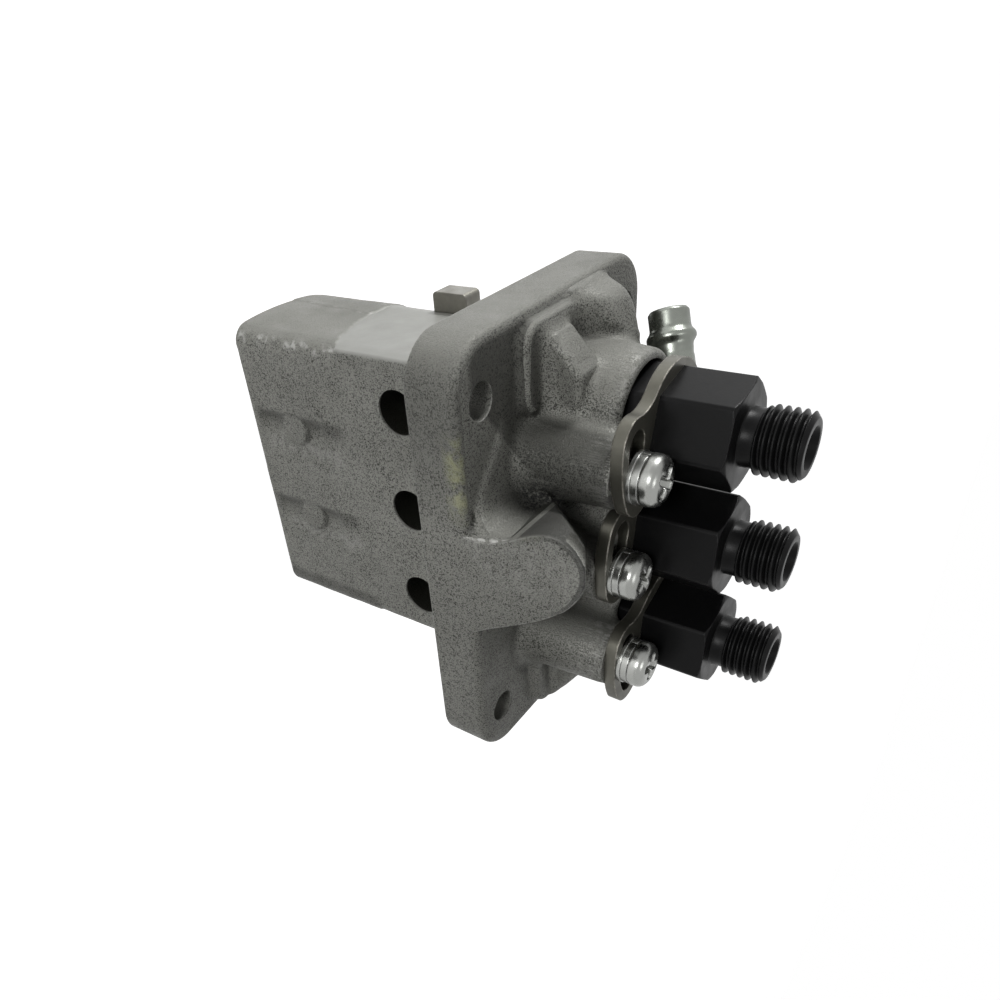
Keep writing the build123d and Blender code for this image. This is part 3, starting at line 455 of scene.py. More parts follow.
def gridPiece(name, points, slot, material=None, wrap=False, flip=False, keep=None, marks=None,
              normals=None):
    # Joins neighbours on a rows by columns grid of points with quads. Without given normals, points that lie
    # together are then merged, which closes seams and poles
    rows, columns = points.shape[:2]
    index = np.arange(rows * columns).reshape(rows, columns)
    if wrap:
        index = np.concatenate([index, index[:, :1]], axis=1)
    quads = np.stack([index[:-1, :-1], index[:-1, 1:], index[1:, 1:], index[1:, :-1]], axis=-1)
    quads = quads[keep] if keep is not None else quads.reshape(-1, 4)
    if flip:
        quads = quads[:, ::-1]
    used, quads = np.unique(quads, return_inverse=True)
    quads = quads.reshape(-1, 4)
    mesh = bpy.data.meshes.new(name)
    mesh.from_pydata((points.reshape(-1, 3)[used] * 0.001).tolist(), [], quads.tolist())
    for label, values in (marks or {}).items():
        layer = mesh.attributes.new(label, "FLOAT", "POINT")
        layer.data.foreach_set("value", values.reshape(-1)[used].astype(np.float32))
    if normals is None:
        shape = bmesh.new()
        shape.from_mesh(mesh)
        bmesh.ops.remove_doubles(shape, verts=shape.verts, dist=2e-6)
        bmesh.ops.dissolve_degenerate(shape, edges=shape.edges, dist=1e-7)
        shape.to_mesh(mesh)
        shape.free()
    mesh.polygons.foreach_set("use_smooth", np.ones(len(mesh.polygons), bool))
    if normals is not None:
        mesh.normals_split_custom_set_from_vertices(normals.reshape(-1, 3)[used].tolist())
    mesh.materials.append(material or slotMaterials[slot])
    piece = bpy.data.objects.new(name, mesh)
    bpy.context.scene.collection.objects.link(piece)
    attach(piece, "pump_body")
    print("made", name, len(mesh.polygons), "faces")
    return piece


def borderOf(faces, others, shape):
    # The vertices that touch a face of the first kind and a face of the second
    touch = np.zeros((2,) + shape, bool)
    for rowPart in (slice(0, -1), slice(1, None)):
        for columnPart in (slice(0, -1), slice(1, None)):
            touch[0][rowPart, columnPart] |= faces
            touch[1][rowPart, columnPart] |= others
    return touch[0] & touch[1]


def cellMean(values):
    return (values[:-1, :-1] + values[1:, :-1] + values[:-1, 1:] + values[1:, 1:]) / 4


def roundEdgeOfHole(across, along, centre, radius, keep):
    # Drops the faces inside a circle and moves the vertices on the cut's edge radially onto the circle
    reach = np.hypot(across - centre[0], along - centre[1])
    inside = cellMean(reach) < radius
    keep &= ~inside
    rim = borderOf(inside, ~inside, across.shape)
    across[rim] = centre[0] + (across[rim] - centre[0]) * radius / reach[rim]
    along[rim] = centre[1] + (along[rim] - centre[1]) * radius / reach[rim]


def ripple(a, b, seed, waves=10, shortest=6.0, longest=30.0):
    # Smooth uneven height: the mean of plane waves with set random directions and lengths
    lot = np.random.default_rng(seed)
    total = np.zeros(np.broadcast(a, b).shape)
    for angle, length, phase in zip(lot.uniform(0, math.pi, waves), lot.uniform(shortest, longest, waves),
                                    lot.uniform(0, 2 * math.pi, waves)):
        total += np.sin((a * math.cos(angle) + b * math.sin(angle)) * 2 * math.pi / length + phase)
    return total / math.sqrt(waves)


def ease(value, low, high):
    t = np.clip((value - low) / (high - low), 0, 1)
    return t * t * (3 - 2 * t)


# The casting above the flange: the surface of one soft union of cones, ribs and webs

nearRib = {"low": -8.9, "high": -1.2, "root": 19.6, "lean": 0.15, "endLean": 0.3, "corner": 2.5, "soft": 1.6,
           "blend": 1.8, "farLean": 0.2, "sideSoft": 2.0, "roofSoft": 3.0}
castTop = {
    "step": 0.3, "lift": 0.06, "draft": 4.0,
    "towerRadius": 12.05, "towerTop": 25.66, "towerLip": 1.4, "collarBore": 10.42,
    "bossRadius": 6.3, "bossFillet": 3.0, "bossWebHalf": 4.8, "webTop": 21.1, "webHalf": 9.0,
    "inletRadius": 6.55, "inletFace": 15.0, "inletTop": 15.08,
    "boltSpacing": (67.0, 50.0), "boltRadius": 3.32,
    "flangeHalf": (44.0, 32.0), "flangeCorner": 9.0, "flangeInset": 0.35, "flangeEdge": 1.5,
    "shadeFrom": 0.2, "shadeFull": 0.62, "roughSpot": (-11.5, -16.2, 16.0),
    "stepX": (-34.0, 34.0), "stepHalfX": 8.0, "stepY": -5.0, "stepHalfY": 9.3,
    "stepCorner": 4.0, "stepTop": 12.2, "stepSoft": 1.6,
    "towerBlend": 2.6, "webEdge": 1.5, "webBlend": 2.5, "faceEdge": 0.5,
    "wedges": [dict(nearRib, side=-1, reach=39.4, foot=13.9),
               dict(nearRib, side=1, reach=42.2, foot=12.9),
               dict(nearRib, side=-1, low=6.4, high=15.3, reach=41.0, foot=16.1, root=19.5, lean=0.75,
                    endLean=0.4, corner=3.0, blend=2.2)],
    "wedgeRoot": 33.0, "wedgeInner": 25.0,
    "tongueBack": {"ridge": 31.72, "fall": 0.6, "fallFrom": -29.5, "far": -11.0, "blend": 2.2,
                   "neck": -12.3, "cove": 6.0, "footY": -30.5,
                   "faceY": -31.6, "faceLow": 8.5, "faceSlope": 0.087, "footNormal": (0.616, 0.788),
                   "flankHeights": (8.3, 16.0, 24.5, 28.3, 30.55, 31.7),
                   "flank": (10.1, 6.2, 1.75, -1.0, -4.4, -8.0),
                   "crownX": (-15.4, -14.2, -11.5, -8.0, -4.5, -1.2),
                   "crown": (26.0, 28.9, 31.2, 31.72, 30.6, 28.4)},
    "shoulder": {"height": 30.62, "x": -14.5, "y": -28.5, "climb": 0.88, "fall": 1.15},
}


def softUnion(a, b, reach):
    # The lesser of two distances, with the corner between them filled over the given reach
    share = np.clip(0.5 + 0.5 * (b - a) / reach, 0, 1)
    return b + (a - b) * share - reach * share * (1 - share)


def softCut(a, b, reach):
    # The greater of two distances, with the edge between them rounded over the given reach
    return -softUnion(-a, -b, reach)


def roundedTop(side, top, radius):
    # A body bounded by its side and its top, whose edge has the given radius
    outer = np.hypot(np.maximum(side + radius, 0), np.maximum(top + radius, 0))
    return outer + np.minimum(np.maximum(side + radius, top + radius), 0) - radius


def wedge(x, y, z, w, root, inner):
    # A block whose top climbs towards the towers up to its root, bounded by its ends and its leaning walls
    rise = (w["root"] - w["foot"]) / (w["reach"] - root)
    roof = (z - w["foot"] - (w["reach"] - x) * rise) / math.hypot(1, rise)
    roof = softCut(roof, z - w["root"], w["roofSoft"])
    near = w["low"] - y - (w["foot"] - z) * w["lean"]
    far = y - w["high"] - (w["foot"] - z) * w["farLean"]
    end = np.maximum(x - w["reach"] - (w["foot"] - z) * w["endLean"], inner - x)
    walls = softCut(softCut(near, far, w["sideSoft"]), end, w["corner"])
    return softCut(walls, roof, w["soft"])


def shoulderHeight(x, y, s):
    # A plane: the tongue's back side falls towards the valley beside the first screw boss
    return s["height"] + s["climb"] * (x - s["x"]) - s["fall"] * (y - s["y"])


def castDistance(x, y, z, c):
    slope = math.tan(math.radians(c["draft"]))
    body = z - (flangeTop + c["lift"])
    for stepX in c["stepX"]:
        across = np.maximum(np.abs(x - stepX) - c["stepHalfX"] + c["stepCorner"], 0)
        along = np.maximum(np.abs(y - c["stepY"]) - c["stepHalfY"] + c["stepCorner"], 0)
        block = softCut(np.hypot(across, along) - c["stepCorner"], z - c["stepTop"], c["stepSoft"])
        body = softUnion(body, block, c["stepSoft"])
    for cx in elementX:
        side = np.hypot(x - cx, y - rowY) - (c["towerRadius"] + (c["towerTop"] - z) * slope)
        body = softUnion(body, roundedTop(side, z - c["towerTop"], c["towerLip"]), c["towerBlend"])
    web = np.maximum(np.abs(y - rowY) - c["webHalf"] - (c["webTop"] - z) * slope, np.abs(x) - elementX[-1])
    body = softUnion(body, roundedTop(web, z - c["webTop"], c["webEdge"]), c["webBlend"])
    for w in c["wedges"]:
        block = wedge(w["side"] * x, y, z, w, c["wedgeRoot"], c["wedgeInner"])
        body = softUnion(body, block, w["blend"])

    # The tongue's back: a roof, a shoulder, a flank, and a hollow side whose foot widens from the near face
    # back. A sloping plane's height above a point is divided by the length of its slope, to give a distance
    t = c["tongueBack"]
    roof = (z - t["ridge"] + t["fall"] * np.maximum(y - t["fallFrom"], 0)) / 1.17
    shoulder = (z - shoulderHeight(x, y, c["shoulder"])) / 1.76
    right = (x - np.interp(z, t["flankHeights"], t["flank"])) * 0.87
    hollow = np.hypot(np.maximum(x - t["neck"] + t["cove"], 0), np.maximum(flangeTop + t["cove"] - z, 0))
    foot = -t["footNormal"][0] * (x - t["neck"]) - t["footNormal"][1] * (y - t["footY"])
    crown = (z - np.interp(x, t["crownX"], t["crown"])) * 0.7
    face = (z - t["faceLow"]) * t["faceSlope"] + t["faceY"] - y
    core = softCut(softCut(softCut(roof, crown, 0.4), shoulder, 1.2), right, 0.8)
    core = softCut(softCut(core, t["cove"] - hollow, 1.0), foot, 1.0)
    core = softCut(softCut(core, face, 0.6), y - t["far"], 2.0)
    body = softUnion(body, core, t["blend"])

    for (sx, sy), top in zip(screwSpots, plateLevels):
        side = np.hypot(x - sx, y - sy) - (c["bossRadius"] + (top - z) * slope * 0.5)
        body = softUnion(body, roundedTop(side, z - (top - 0.04), c["faceEdge"]), c["bossFillet"])
        across = np.abs(x - sx) - c["bossWebHalf"] - (c["webTop"] - z) * slope
        along = np.abs(y - (sy + rowY) / 2) - abs(sy - rowY) / 2
        side = np.maximum(across, along)
        body = softUnion(body, roundedTop(side, z - c["webTop"], c["webEdge"]), c["webBlend"])

    inlet = np.hypot(x - inletSpot[0], y - inletSpot[1]) - (c["inletRadius"] + (c["inletFace"] - z) * slope)
    return softUnion(body, roundedTop(inlet, z - c["inletTop"], c["faceEdge"]), c["webBlend"])


def makeCastTop(c):
    corner = c["flangeCorner"] - c["flangeInset"]
    halfX, halfY = (half - c["flangeInset"] for half in c["flangeHalf"])
    columns = int(2 * halfX / c["step"]) + 3
    rows = int(2 * halfY / c["step"]) + 3
    past = 0.3  # the grid starts a little outside the outline
    x, y = np.meshgrid(np.linspace(-halfX - past, halfX + past, columns),
                       np.linspace(-halfY - past, halfY + past, rows))

    # The rounded outline: drop the faces outside it and pull the cut's edge onto it
    def outline(px, py):
        qx, qy = np.abs(px) - (halfX - corner), np.abs(py) - (halfY - corner)
        return np.hypot(np.maximum(qx, 0), np.maximum(qy, 0)) + np.minimum(np.maximum(qx, qy), 0) - corner

    off = outline(x, y)
    keep = cellMean(off) < 0
    qx, qy = np.maximum(np.abs(x) - (halfX - corner), 0), np.maximum(np.abs(y) - (halfY - corner), 0)
    outward = np.stack([np.sign(x) * qx, np.sign(y) * qy]) / np.maximum(np.hypot(qx, qy), 1e-9)
    rim = borderOf(keep, ~keep, x.shape) & (np.abs(off) < c["step"] * 0.75)
    x[rim] -= (outward[0] * off)[rim]
    y[rim] -= (outward[1] * off)[rim]

    for sideX in (-0.5, 0.5):
        for sideY in (-0.5, 0.5):
            spot = (sideX * c["boltSpacing"][0], sideY * c["boltSpacing"][1])
            roundEdgeOfHole(x, y, spot, c["boltRadius"], keep)
    for cx in elementX:
        roundEdgeOfHole(x, y, (cx, rowY), c["collarBore"], keep)

    # Down from above to the union's surface, by steps of its own distance
    z = np.full(x.shape, 34.0)
    active = np.ones(x.shape, bool)
    for _ in range(70):
        gap = castDistance(x[active], y[active], z[active], c)
        z[active] -= gap * 0.93
        spots = np.flatnonzero(active.reshape(-1))
        active.reshape(-1)[spots[np.abs(gap) <= 0.004]] = False
        if not active.any():
            break
    level = flangeTop + c["lift"]
    edge = outline(x, y) + c["flangeInset"] + c["flangeEdge"]
    rolled = np.sqrt(np.maximum(c["flangeEdge"] ** 2 - np.maximum(edge, 0) ** 2, 0)) - c["flangeEdge"]
    z = np.where(z < flangeTop + 1.0, np.minimum(z, level + rolled + np.maximum(z - level, 0)), z)
    z += 0.04 * np.maximum(ripple(x, y, 3, 14, 5, 22) + 1.2, 0) * ease(outline(x, y), -0.2, -2.5)
    z = np.maximum(z, 8.0)
    points = np.stack([x, y, z], axis=-1)

    # The union's slope gives the shading normals, and its bend tells the convex edges, which are painted
    # lighter as wear and as a painted highlight
    reach = 0.35
    sides = []
    for shift in np.eye(3) * reach:
        sides.append([castDistance(x + sign * shift[0], y + sign * shift[1], z + sign * shift[2], c)
                      for sign in (1, -1)])
    slopes = np.stack([plus - minus for plus, minus in sides], axis=-1)
    bend = sum(plus + minus for plus, minus in sides) - 6 * castDistance(x, y, z, c)
    lean = np.clip(edge / c["flangeEdge"], 0, 0.98)
    border = np.stack([outward[0], outward[1], np.zeros(x.shape)], axis=-1)
    onEdge = (lean > 0) & (z < flangeTop + 0.5)
    slopes = slopes / np.linalg.norm(slopes, axis=-1, keepdims=True)
    turned = border * lean[..., None] + np.array([0, 0, 1.0]) * np.sqrt(1 - lean ** 2)[..., None]
    normals = np.where(onEdge[..., None], turned, slopes)
    normals /= np.linalg.norm(normals, axis=-1, keepdims=True)
    upward = normals[..., 2]

    # Painted shade lies where the union closes in over a spot, behind the tongue, and in the gully beside it
    hidden = np.zeros(x.shape)
    for away in (1.5, 3.5, 6.0, 9.0):
        ahead = points + normals * away
        gap = castDistance(ahead[..., 0], ahead[..., 1], ahead[..., 2], c)
        hidden += np.clip((away - gap) / away, 0, 1) / 4
    back = ease(shoulderHeight(x, y, c["shoulder"]) - z, 2.0, 0.3)
    back *= ease(y, -28.6, -26.6) * ease(y, -9, -12) * ease(x, 1, -3)
    gully = np.exp(-(((x + 13.5) / 3.2) ** 2 + ((y + 20.5) / 5.0) ** 2)) * ease(y, -29, -26)
    paintedShade = ease(hidden, c["shadeFrom"], c["shadeFull"]) * ease(upward, 0.15, 0.75)
    paintedShade = np.maximum(paintedShade, np.maximum(back * 0.72, gully * 0.9) * (z < 30.6))
    patch = np.exp(-((points - np.array(c["roughSpot"])) ** 2).sum(axis=-1) / 16.0)
    # wear and painted highlight on convex edges and on the flange's rolled edge
    wearAndHighlight = np.maximum(ease(bend / reach ** 2, 0.25, 1.1) * 0.45, ease(lean, 0.5, 0.95) * onEdge * 0.5)
    marks = {"wearAndHighlight": wearAndHighlight * ease(upward, 0.15, 0.5), "rough": np.clip(patch * 2.2, 0, 1), "paintedShade": paintedShade}
    gridPiece("castTop", points, "cast_aluminium", castMarked, keep=keep, marks=marks, normals=normals)


makeCastTop(castTop)


# The tongue at the flange's near side: its outline carried back from the leaning near face

tongue = {
    "points": [(9.9, 8.3), (6.0, 16.0), (1.55, 24.5), (-1.2, 28.3), (-4.5, 30.55), (-8.0, 31.7),
               (-11.5, 31.2), (-14.2, 28.9), (-15.35, 26.0), (-14.7, 22.5), (-12.9, 18.5), (-11.9, 14.0),
               (-11.9, 8.3)],
    "middle": (-4.0, 14.0), "faceY": -32.06, "faceLow": 8.5, "lean": 5.0, "round": 1.2, "depth": 19.0,
    "cove": 6.0, "widen": 1.28, "widenFrom": -30.9, "ridge": 31.74,
}


def smoothOutline(points, count):
    # A Catmull-Rom line through the points, evened out by its length
    p = np.array(points, float)
    p = np.concatenate([[2 * p[0] - p[1]], p, [2 * p[-1] - p[-2]]])
    t = np.linspace(0, 1, 40, endpoint=False)[:, None]
    runs = []
    for a, b, c, d in zip(p[:-3], p[1:-2], p[2:-1], p[3:]):
        curve = (2 * a - 5 * b + 4 * c - d) * t ** 2 + (3 * b - a - 3 * c + d) * t ** 3
        runs.append(0.5 * (2 * b + (c - a) * t + curve))
    line = np.concatenate(runs + [p[-2:-1]])
    length = np.concatenate([[0], np.cumsum(np.hypot(*np.diff(line, axis=0).T))])
    even = np.linspace(0, length[-1], count)
    return np.stack([np.interp(even, length, line[:, k]) for k in (0, 1)], axis=-1)


def makeTongue(t):
    line = smoothOutline(t["points"], 220)
    along = np.gradient(line, axis=0)
    along /= np.linalg.norm(along, axis=1)[:, None]
    outward = np.stack([-along[:, 1], along[:, 0]], axis=-1)
    outward *= np.sign((outward * (line - line.mean(axis=0))).sum())
    middle = np.array(t["middle"])
    r = t["round"]
    # Rows: from the middle of the near face out to its edge, round the edge, and back along the side
    rows = []
    for share in np.linspace(0.02, 1, 14):
        rows.append((middle + (line - outward * r - middle) * share, 0.0))
    for angle in np.linspace(0, math.pi / 2, 9)[1:]:
        rows.append((line - outward * r * (1 - math.sin(angle)), r * (1 - math.cos(angle))))
    for depth in np.linspace(r, t["depth"], 24)[1:]:
        rows.append((line, depth))
    left = ease(line[:, 0], -6.0, -11.0)
    back = castTop["tongueBack"]
    points = []
    for flat, depth in rows:
        y = t["faceY"] + np.maximum(flat[:, 1] - t["faceLow"], 0) * math.tan(math.radians(t["lean"])) + depth
        # The side towards -X spreads out at its foot in a hollow curve, wider further back
        drop = np.clip(flangeTop + t["cove"] - flat[:, 1], 0, t["cove"] - 0.02)
        hollow = t["cove"] - np.sqrt(t["cove"] ** 2 - drop ** 2)
        wide = t["widen"] * np.maximum(y - t["widenFrom"], 0)
        x = flat[:, 0] - softUnion(hollow, wide, 0.3) * left * (depth > 0)
        roof = t["ridge"] - np.maximum(y - back["fallFrom"], 0) * back["fall"]
        shoulder = shoulderHeight(x, y, castTop["shoulder"]) + 0.05
        z = softUnion(flat[:, 1], softUnion(roof, shoulder, 1.0), 0.3)
        points.append(np.stack([x, y, z], axis=-1))
    points = np.array(points)
    depths = np.array([depth for _, depth in rows])[:, None]
    x, z = points[..., 0], points[..., 2]
    # painted highlight along the rounded crest of the near face, and painted shade on the side behind it
    crest = np.exp(-((depths - 0.5) / 0.35) ** 2) * ease(x, 1, -6) * ease(z, 8.5, 10)
    paintedShade = ease(depths, 1.0, 2.4) * ease(x, 1, -3) * ease(z, 9, 14) * 0.9
    marks = {"wearAndHighlight": crest, "paintedShade": paintedShade}
    gridPiece("tongue", points, "cast_aluminium", castMarked, flip=True, marks=marks)


makeTongue(tongue)


# The body below the flange: its outline carried down, with valleys, pads and the machined band

bodySkin = {
    "columns": 430, "rows": 150,
    "halfX": 32.56, "nearY": -13.86, "farY": 20.86, "nearRound": 3.5, "farRound": 10.0,
    "bottom": -64.04, "foot": 1.7, "bandStep": 0.4,
    "cutterY": 8.0, "cutterZ": -4.1, "cutterRadius": 36.0, "bulge": 1.25,
    "windowZ": -18.5, "windowRadius": 4.76,
    "valleyX": (-11.0, 11.0), "valleyDepth": 1.02, "valleyTop": -40.3, "valleyLow": -61.4,
    "padAt": (-1.4, -50.4), "padRadius": 3.7,
    "rackY": (12.05, 17.35), "rackZ": (-27.95, -19.05),
}


def bodyOutline(b):
    # Four sides and four round corners, and the length along them, from the near side's middle towards +X
    halfX, nearY, farY = b["halfX"], b["nearY"], b["farY"]
    near, far = b["nearRound"], b["farRound"]
    middle = np.array([[0.0, nearY]])
    line = [middle]
    for cx, cy, r, start in ((halfX - near, nearY + near, near, -90), (halfX - far, farY - far, far, 0),
                             (far - halfX, farY - far, far, 90), (near - halfX, nearY + near, near, 180)):
        a = np.radians(np.linspace(start, start + 90, 60))
        line.append(np.stack([cx + r * np.cos(a), cy + r * np.sin(a)], axis=-1))
    line = np.concatenate(line + [middle])
    return line, np.concatenate([[0], np.cumsum(np.hypot(*np.diff(line, axis=0).T))])


def makeBody(b):
    line, length = bodyOutline(b)
    total = length[-1]
    low = b["bottom"] + b["foot"]
    levels = np.concatenate([np.linspace(0, low, b["rows"]), np.full(8, low)])
    turn = np.concatenate([np.zeros(b["rows"]), np.radians(np.linspace(0, 90, 9))[1:]])
    stations = np.linspace(0, total, b["columns"], endpoint=False)

    # The rack's opening: the nearest rows and columns move onto its edges, and the faces between them go
    farCorner = (line[:, 0] < 0) & (line[:, 1] > b["farY"] - b["farRound"] + 0.1)
    sides = np.interp(b["rackY"], line[farCorner][::-1, 1], length[farCorner][::-1])
    for side in sides:
        stations[np.argmin(np.abs(stations - side))] = side
    for height in b["rackZ"]:
        levels[np.argmin(np.abs(levels - height))] = height
    s, z = np.meshgrid(stations, levels)
    bend = np.repeat(turn[:, None], b["columns"], axis=1)
    high = (levels[:-1] + levels[1:])[:, None] / 2
    across = stations[None] + total / b["columns"] / 2
    opened = (high > b["rackZ"][0]) & (high < b["rackZ"][1])
    keep = ~(opened & (across > sides.min()) & (across < sides.max()))

    # Windows: the near side's arc length is x up to the corner, and runs backwards beyond the seam
    near = np.where(s > total / 2, s - total, s)
    wrapped = np.concatenate([near, near[:, :1]], axis=1)
    tall = np.concatenate([z, z[:, :1]], axis=1)
    for cx in elementX:
        roundEdgeOfHole(wrapped, tall, (cx, b["windowZ"]), b["windowRadius"], keep)
    first, last = wrapped[:, 0], wrapped[:, -1]
    near, z = wrapped[:, :-1], tall[:, :-1]
    near[:, 0] = np.where(np.abs(first) > np.abs(last), first, last)
    s = np.where(near < 0, near + total, near)
    x, y = (np.interp(s, length, line[:, k]) for k in (0, 1))
    ahead, behind = (s + 0.05) % total, (s - 0.05) % total
    tx, ty = (np.interp(ahead, length, line[:, k]) - np.interp(behind, length, line[:, k]) for k in (0, 1))
    size = np.hypot(tx, ty)
    nx, ny = ty / size, -tx / size

    # The machined band ends in the arc of a round cutter, and the cast face below it stands proud
    reach = np.clip(y - b["cutterY"], -b["cutterRadius"], b["cutterRadius"])
    edge = b["cutterZ"] - np.sqrt(b["cutterRadius"] ** 2 - reach ** 2) + 0.25 * ripple(y, x, 5, 8, 3, 12)
    cast = ease(edge - z, -0.15, 0.15)
    proud = (b["bandStep"] + 0.32 * cast) * np.abs(nx)
    sharp = (1 / np.maximum(np.abs(nx), np.abs(ny)) - 1) * b["nearRound"] * 0.85
    sharp *= (y < 0) * (x < 0) * (1 - cast)
    bulge = b["bulge"] * np.clip(1 - ((y + 1.5) / 14) ** 2, 0, 1) * ease(-z, 38, 62) * np.clip(-nx, 0, 1)
    seam = y - 5.0 - 0.6 * ripple(z, 0, 9, 5, 10, 30)
    parting = 0.18 * ease(seam, -0.15, 0.15) * ease(seam, 9, 4) * ease(-nx, 0.7, 0.9) * cast

    # Valleys: short and steep towards -X, long and shallow towards +X, each round a flat pad
    onNear = (np.abs(near) < 29.5) & (y < 0)
    dip, paintedShade, gleam = np.zeros(s.shape), np.zeros(s.shape), np.zeros(s.shape)
    for gx in b["valleyX"]:
        u = near - gx
        ends = ease(z, b["valleyLow"], b["valleyLow"] + 2.2) * ease(z, b["valleyTop"], b["valleyTop"] - 2.0)
        hollow = b["valleyDepth"] * ease(u, -5.3, -2.5) * ease(u, 6.4, -1.0) * ends
        away = np.hypot(u - b["padAt"][0], z - b["padAt"][1])
        pad = ease(away, b["padRadius"] + 0.2, b["padRadius"] - 0.2)
        dip = np.maximum(dip, hollow * (1 - pad) + np.minimum(hollow, 0.12 - 0.05 * u) * pad)
        # painted shade: a ring round each pad, a crescent on its +Z side, and a band along the steep side
        around = ease(away, b["padRadius"] + 0.7, b["padRadius"] - 0.1)
        under = ease(away, b["padRadius"] + 1.4, b["padRadius"])
        under *= ease(z, b["padAt"][1] + 1.5, b["padAt"][1] + 4)
        dark = ease(u, -5.8, -4.2) * ease(u, 0.2, -3.4) * ease(z, -63, -60) * ease(z, -33.2, -36.5)
        valleyShade = np.maximum(dark * 0.5, np.maximum(around * (1 - pad) * 0.62, under * 0.8))
        paintedShade = np.maximum(paintedShade, valleyShade * (1 - pad))
        # painted highlight on the shallow side of each valley
        shine = ease(u, -0.5, 2.0) * ease(u, 6.0, 3.5) * ease(z, -62, -58) * ease(z, -34, -36)
        gleam = np.maximum(gleam, shine * (1 - pad))
    dip *= onNear
    # painted shade near the +X end of the near face
    lowEdge = ease(near, 26.8, 28.6) * ease(near, 33, 30.5) * (y < 0) * ease(-z, 31, 35)
    paintedShade = np.maximum(paintedShade * onNear, lowEdge * 0.5)
    waves = 0.04 * np.maximum(ripple(s, z, 7, 14, 6, 26) + 1.2, 0)
    out = proud + sharp + bulge - dip + parting + waves * (z < -1)
    out = out * np.cos(bend) - b["foot"] * (1 - np.cos(bend))
    points = np.stack([x + nx * out, y + ny * out, z - b["foot"] * np.sin(bend)], axis=-1)

    machined = (1 - cast) * ease(-nx, 0.62, 0.74)
    corner = np.exp(-(y + 13.0) ** 2 / 0.5 - (x + 32.0) ** 2 / 2.5)
    fleck = corner * ease(ripple(z, y * 2, 12, 9, 2, 8), -0.3, 0.5) * cast
    flash = np.exp(-(seam / 0.22) ** 2) * ease(-nx, 0.8, 0.95) * cast * 0.3
    rim = np.exp(-((edge - z) / 0.2) ** 2) * ease(-nx, 0.6, 0.8) * 0.25
    # lighter: a worn corner, casting flash, the machined band's edge, and the painted highlight in the
    # valleys
    wearAndHighlight = np.clip(fleck + flash + rim + gleam * onNear * 0.2, 0, 0.9)
    marks = {"machined": machined, "wearAndHighlight": wearAndHighlight, "paintedShade": paintedShade}
    gridPiece("bodySkin", points, "cast_aluminium", castBody, wrap=True, flip=True, keep=keep, marks=marks)


makeBody(bodySkin)


# Delivery valve holders: a profile turned about its axis, bounded by a hexagon and cut by a thread

holder = {
    "turns": (42.0, 48.0, 50.0), "flats": 17.3, "hexLow": 20.7, "hexTop": 44.0, "chamfer": 1.0,
    "neckRadius": 5.1, "neckTop": 46.6, "top": 54.6,
    "threadRadius": 6.0, "threadPitch": 1.5, "threadDepth": 0.86,
    "endChamfer": 1.1, "coneRadius": 3.7, "boreRadius": 1.2, "footRadius": 8.0, "foot": 5.0,
    "roomRadius": 5.3, "roomTop": 26.5,
}


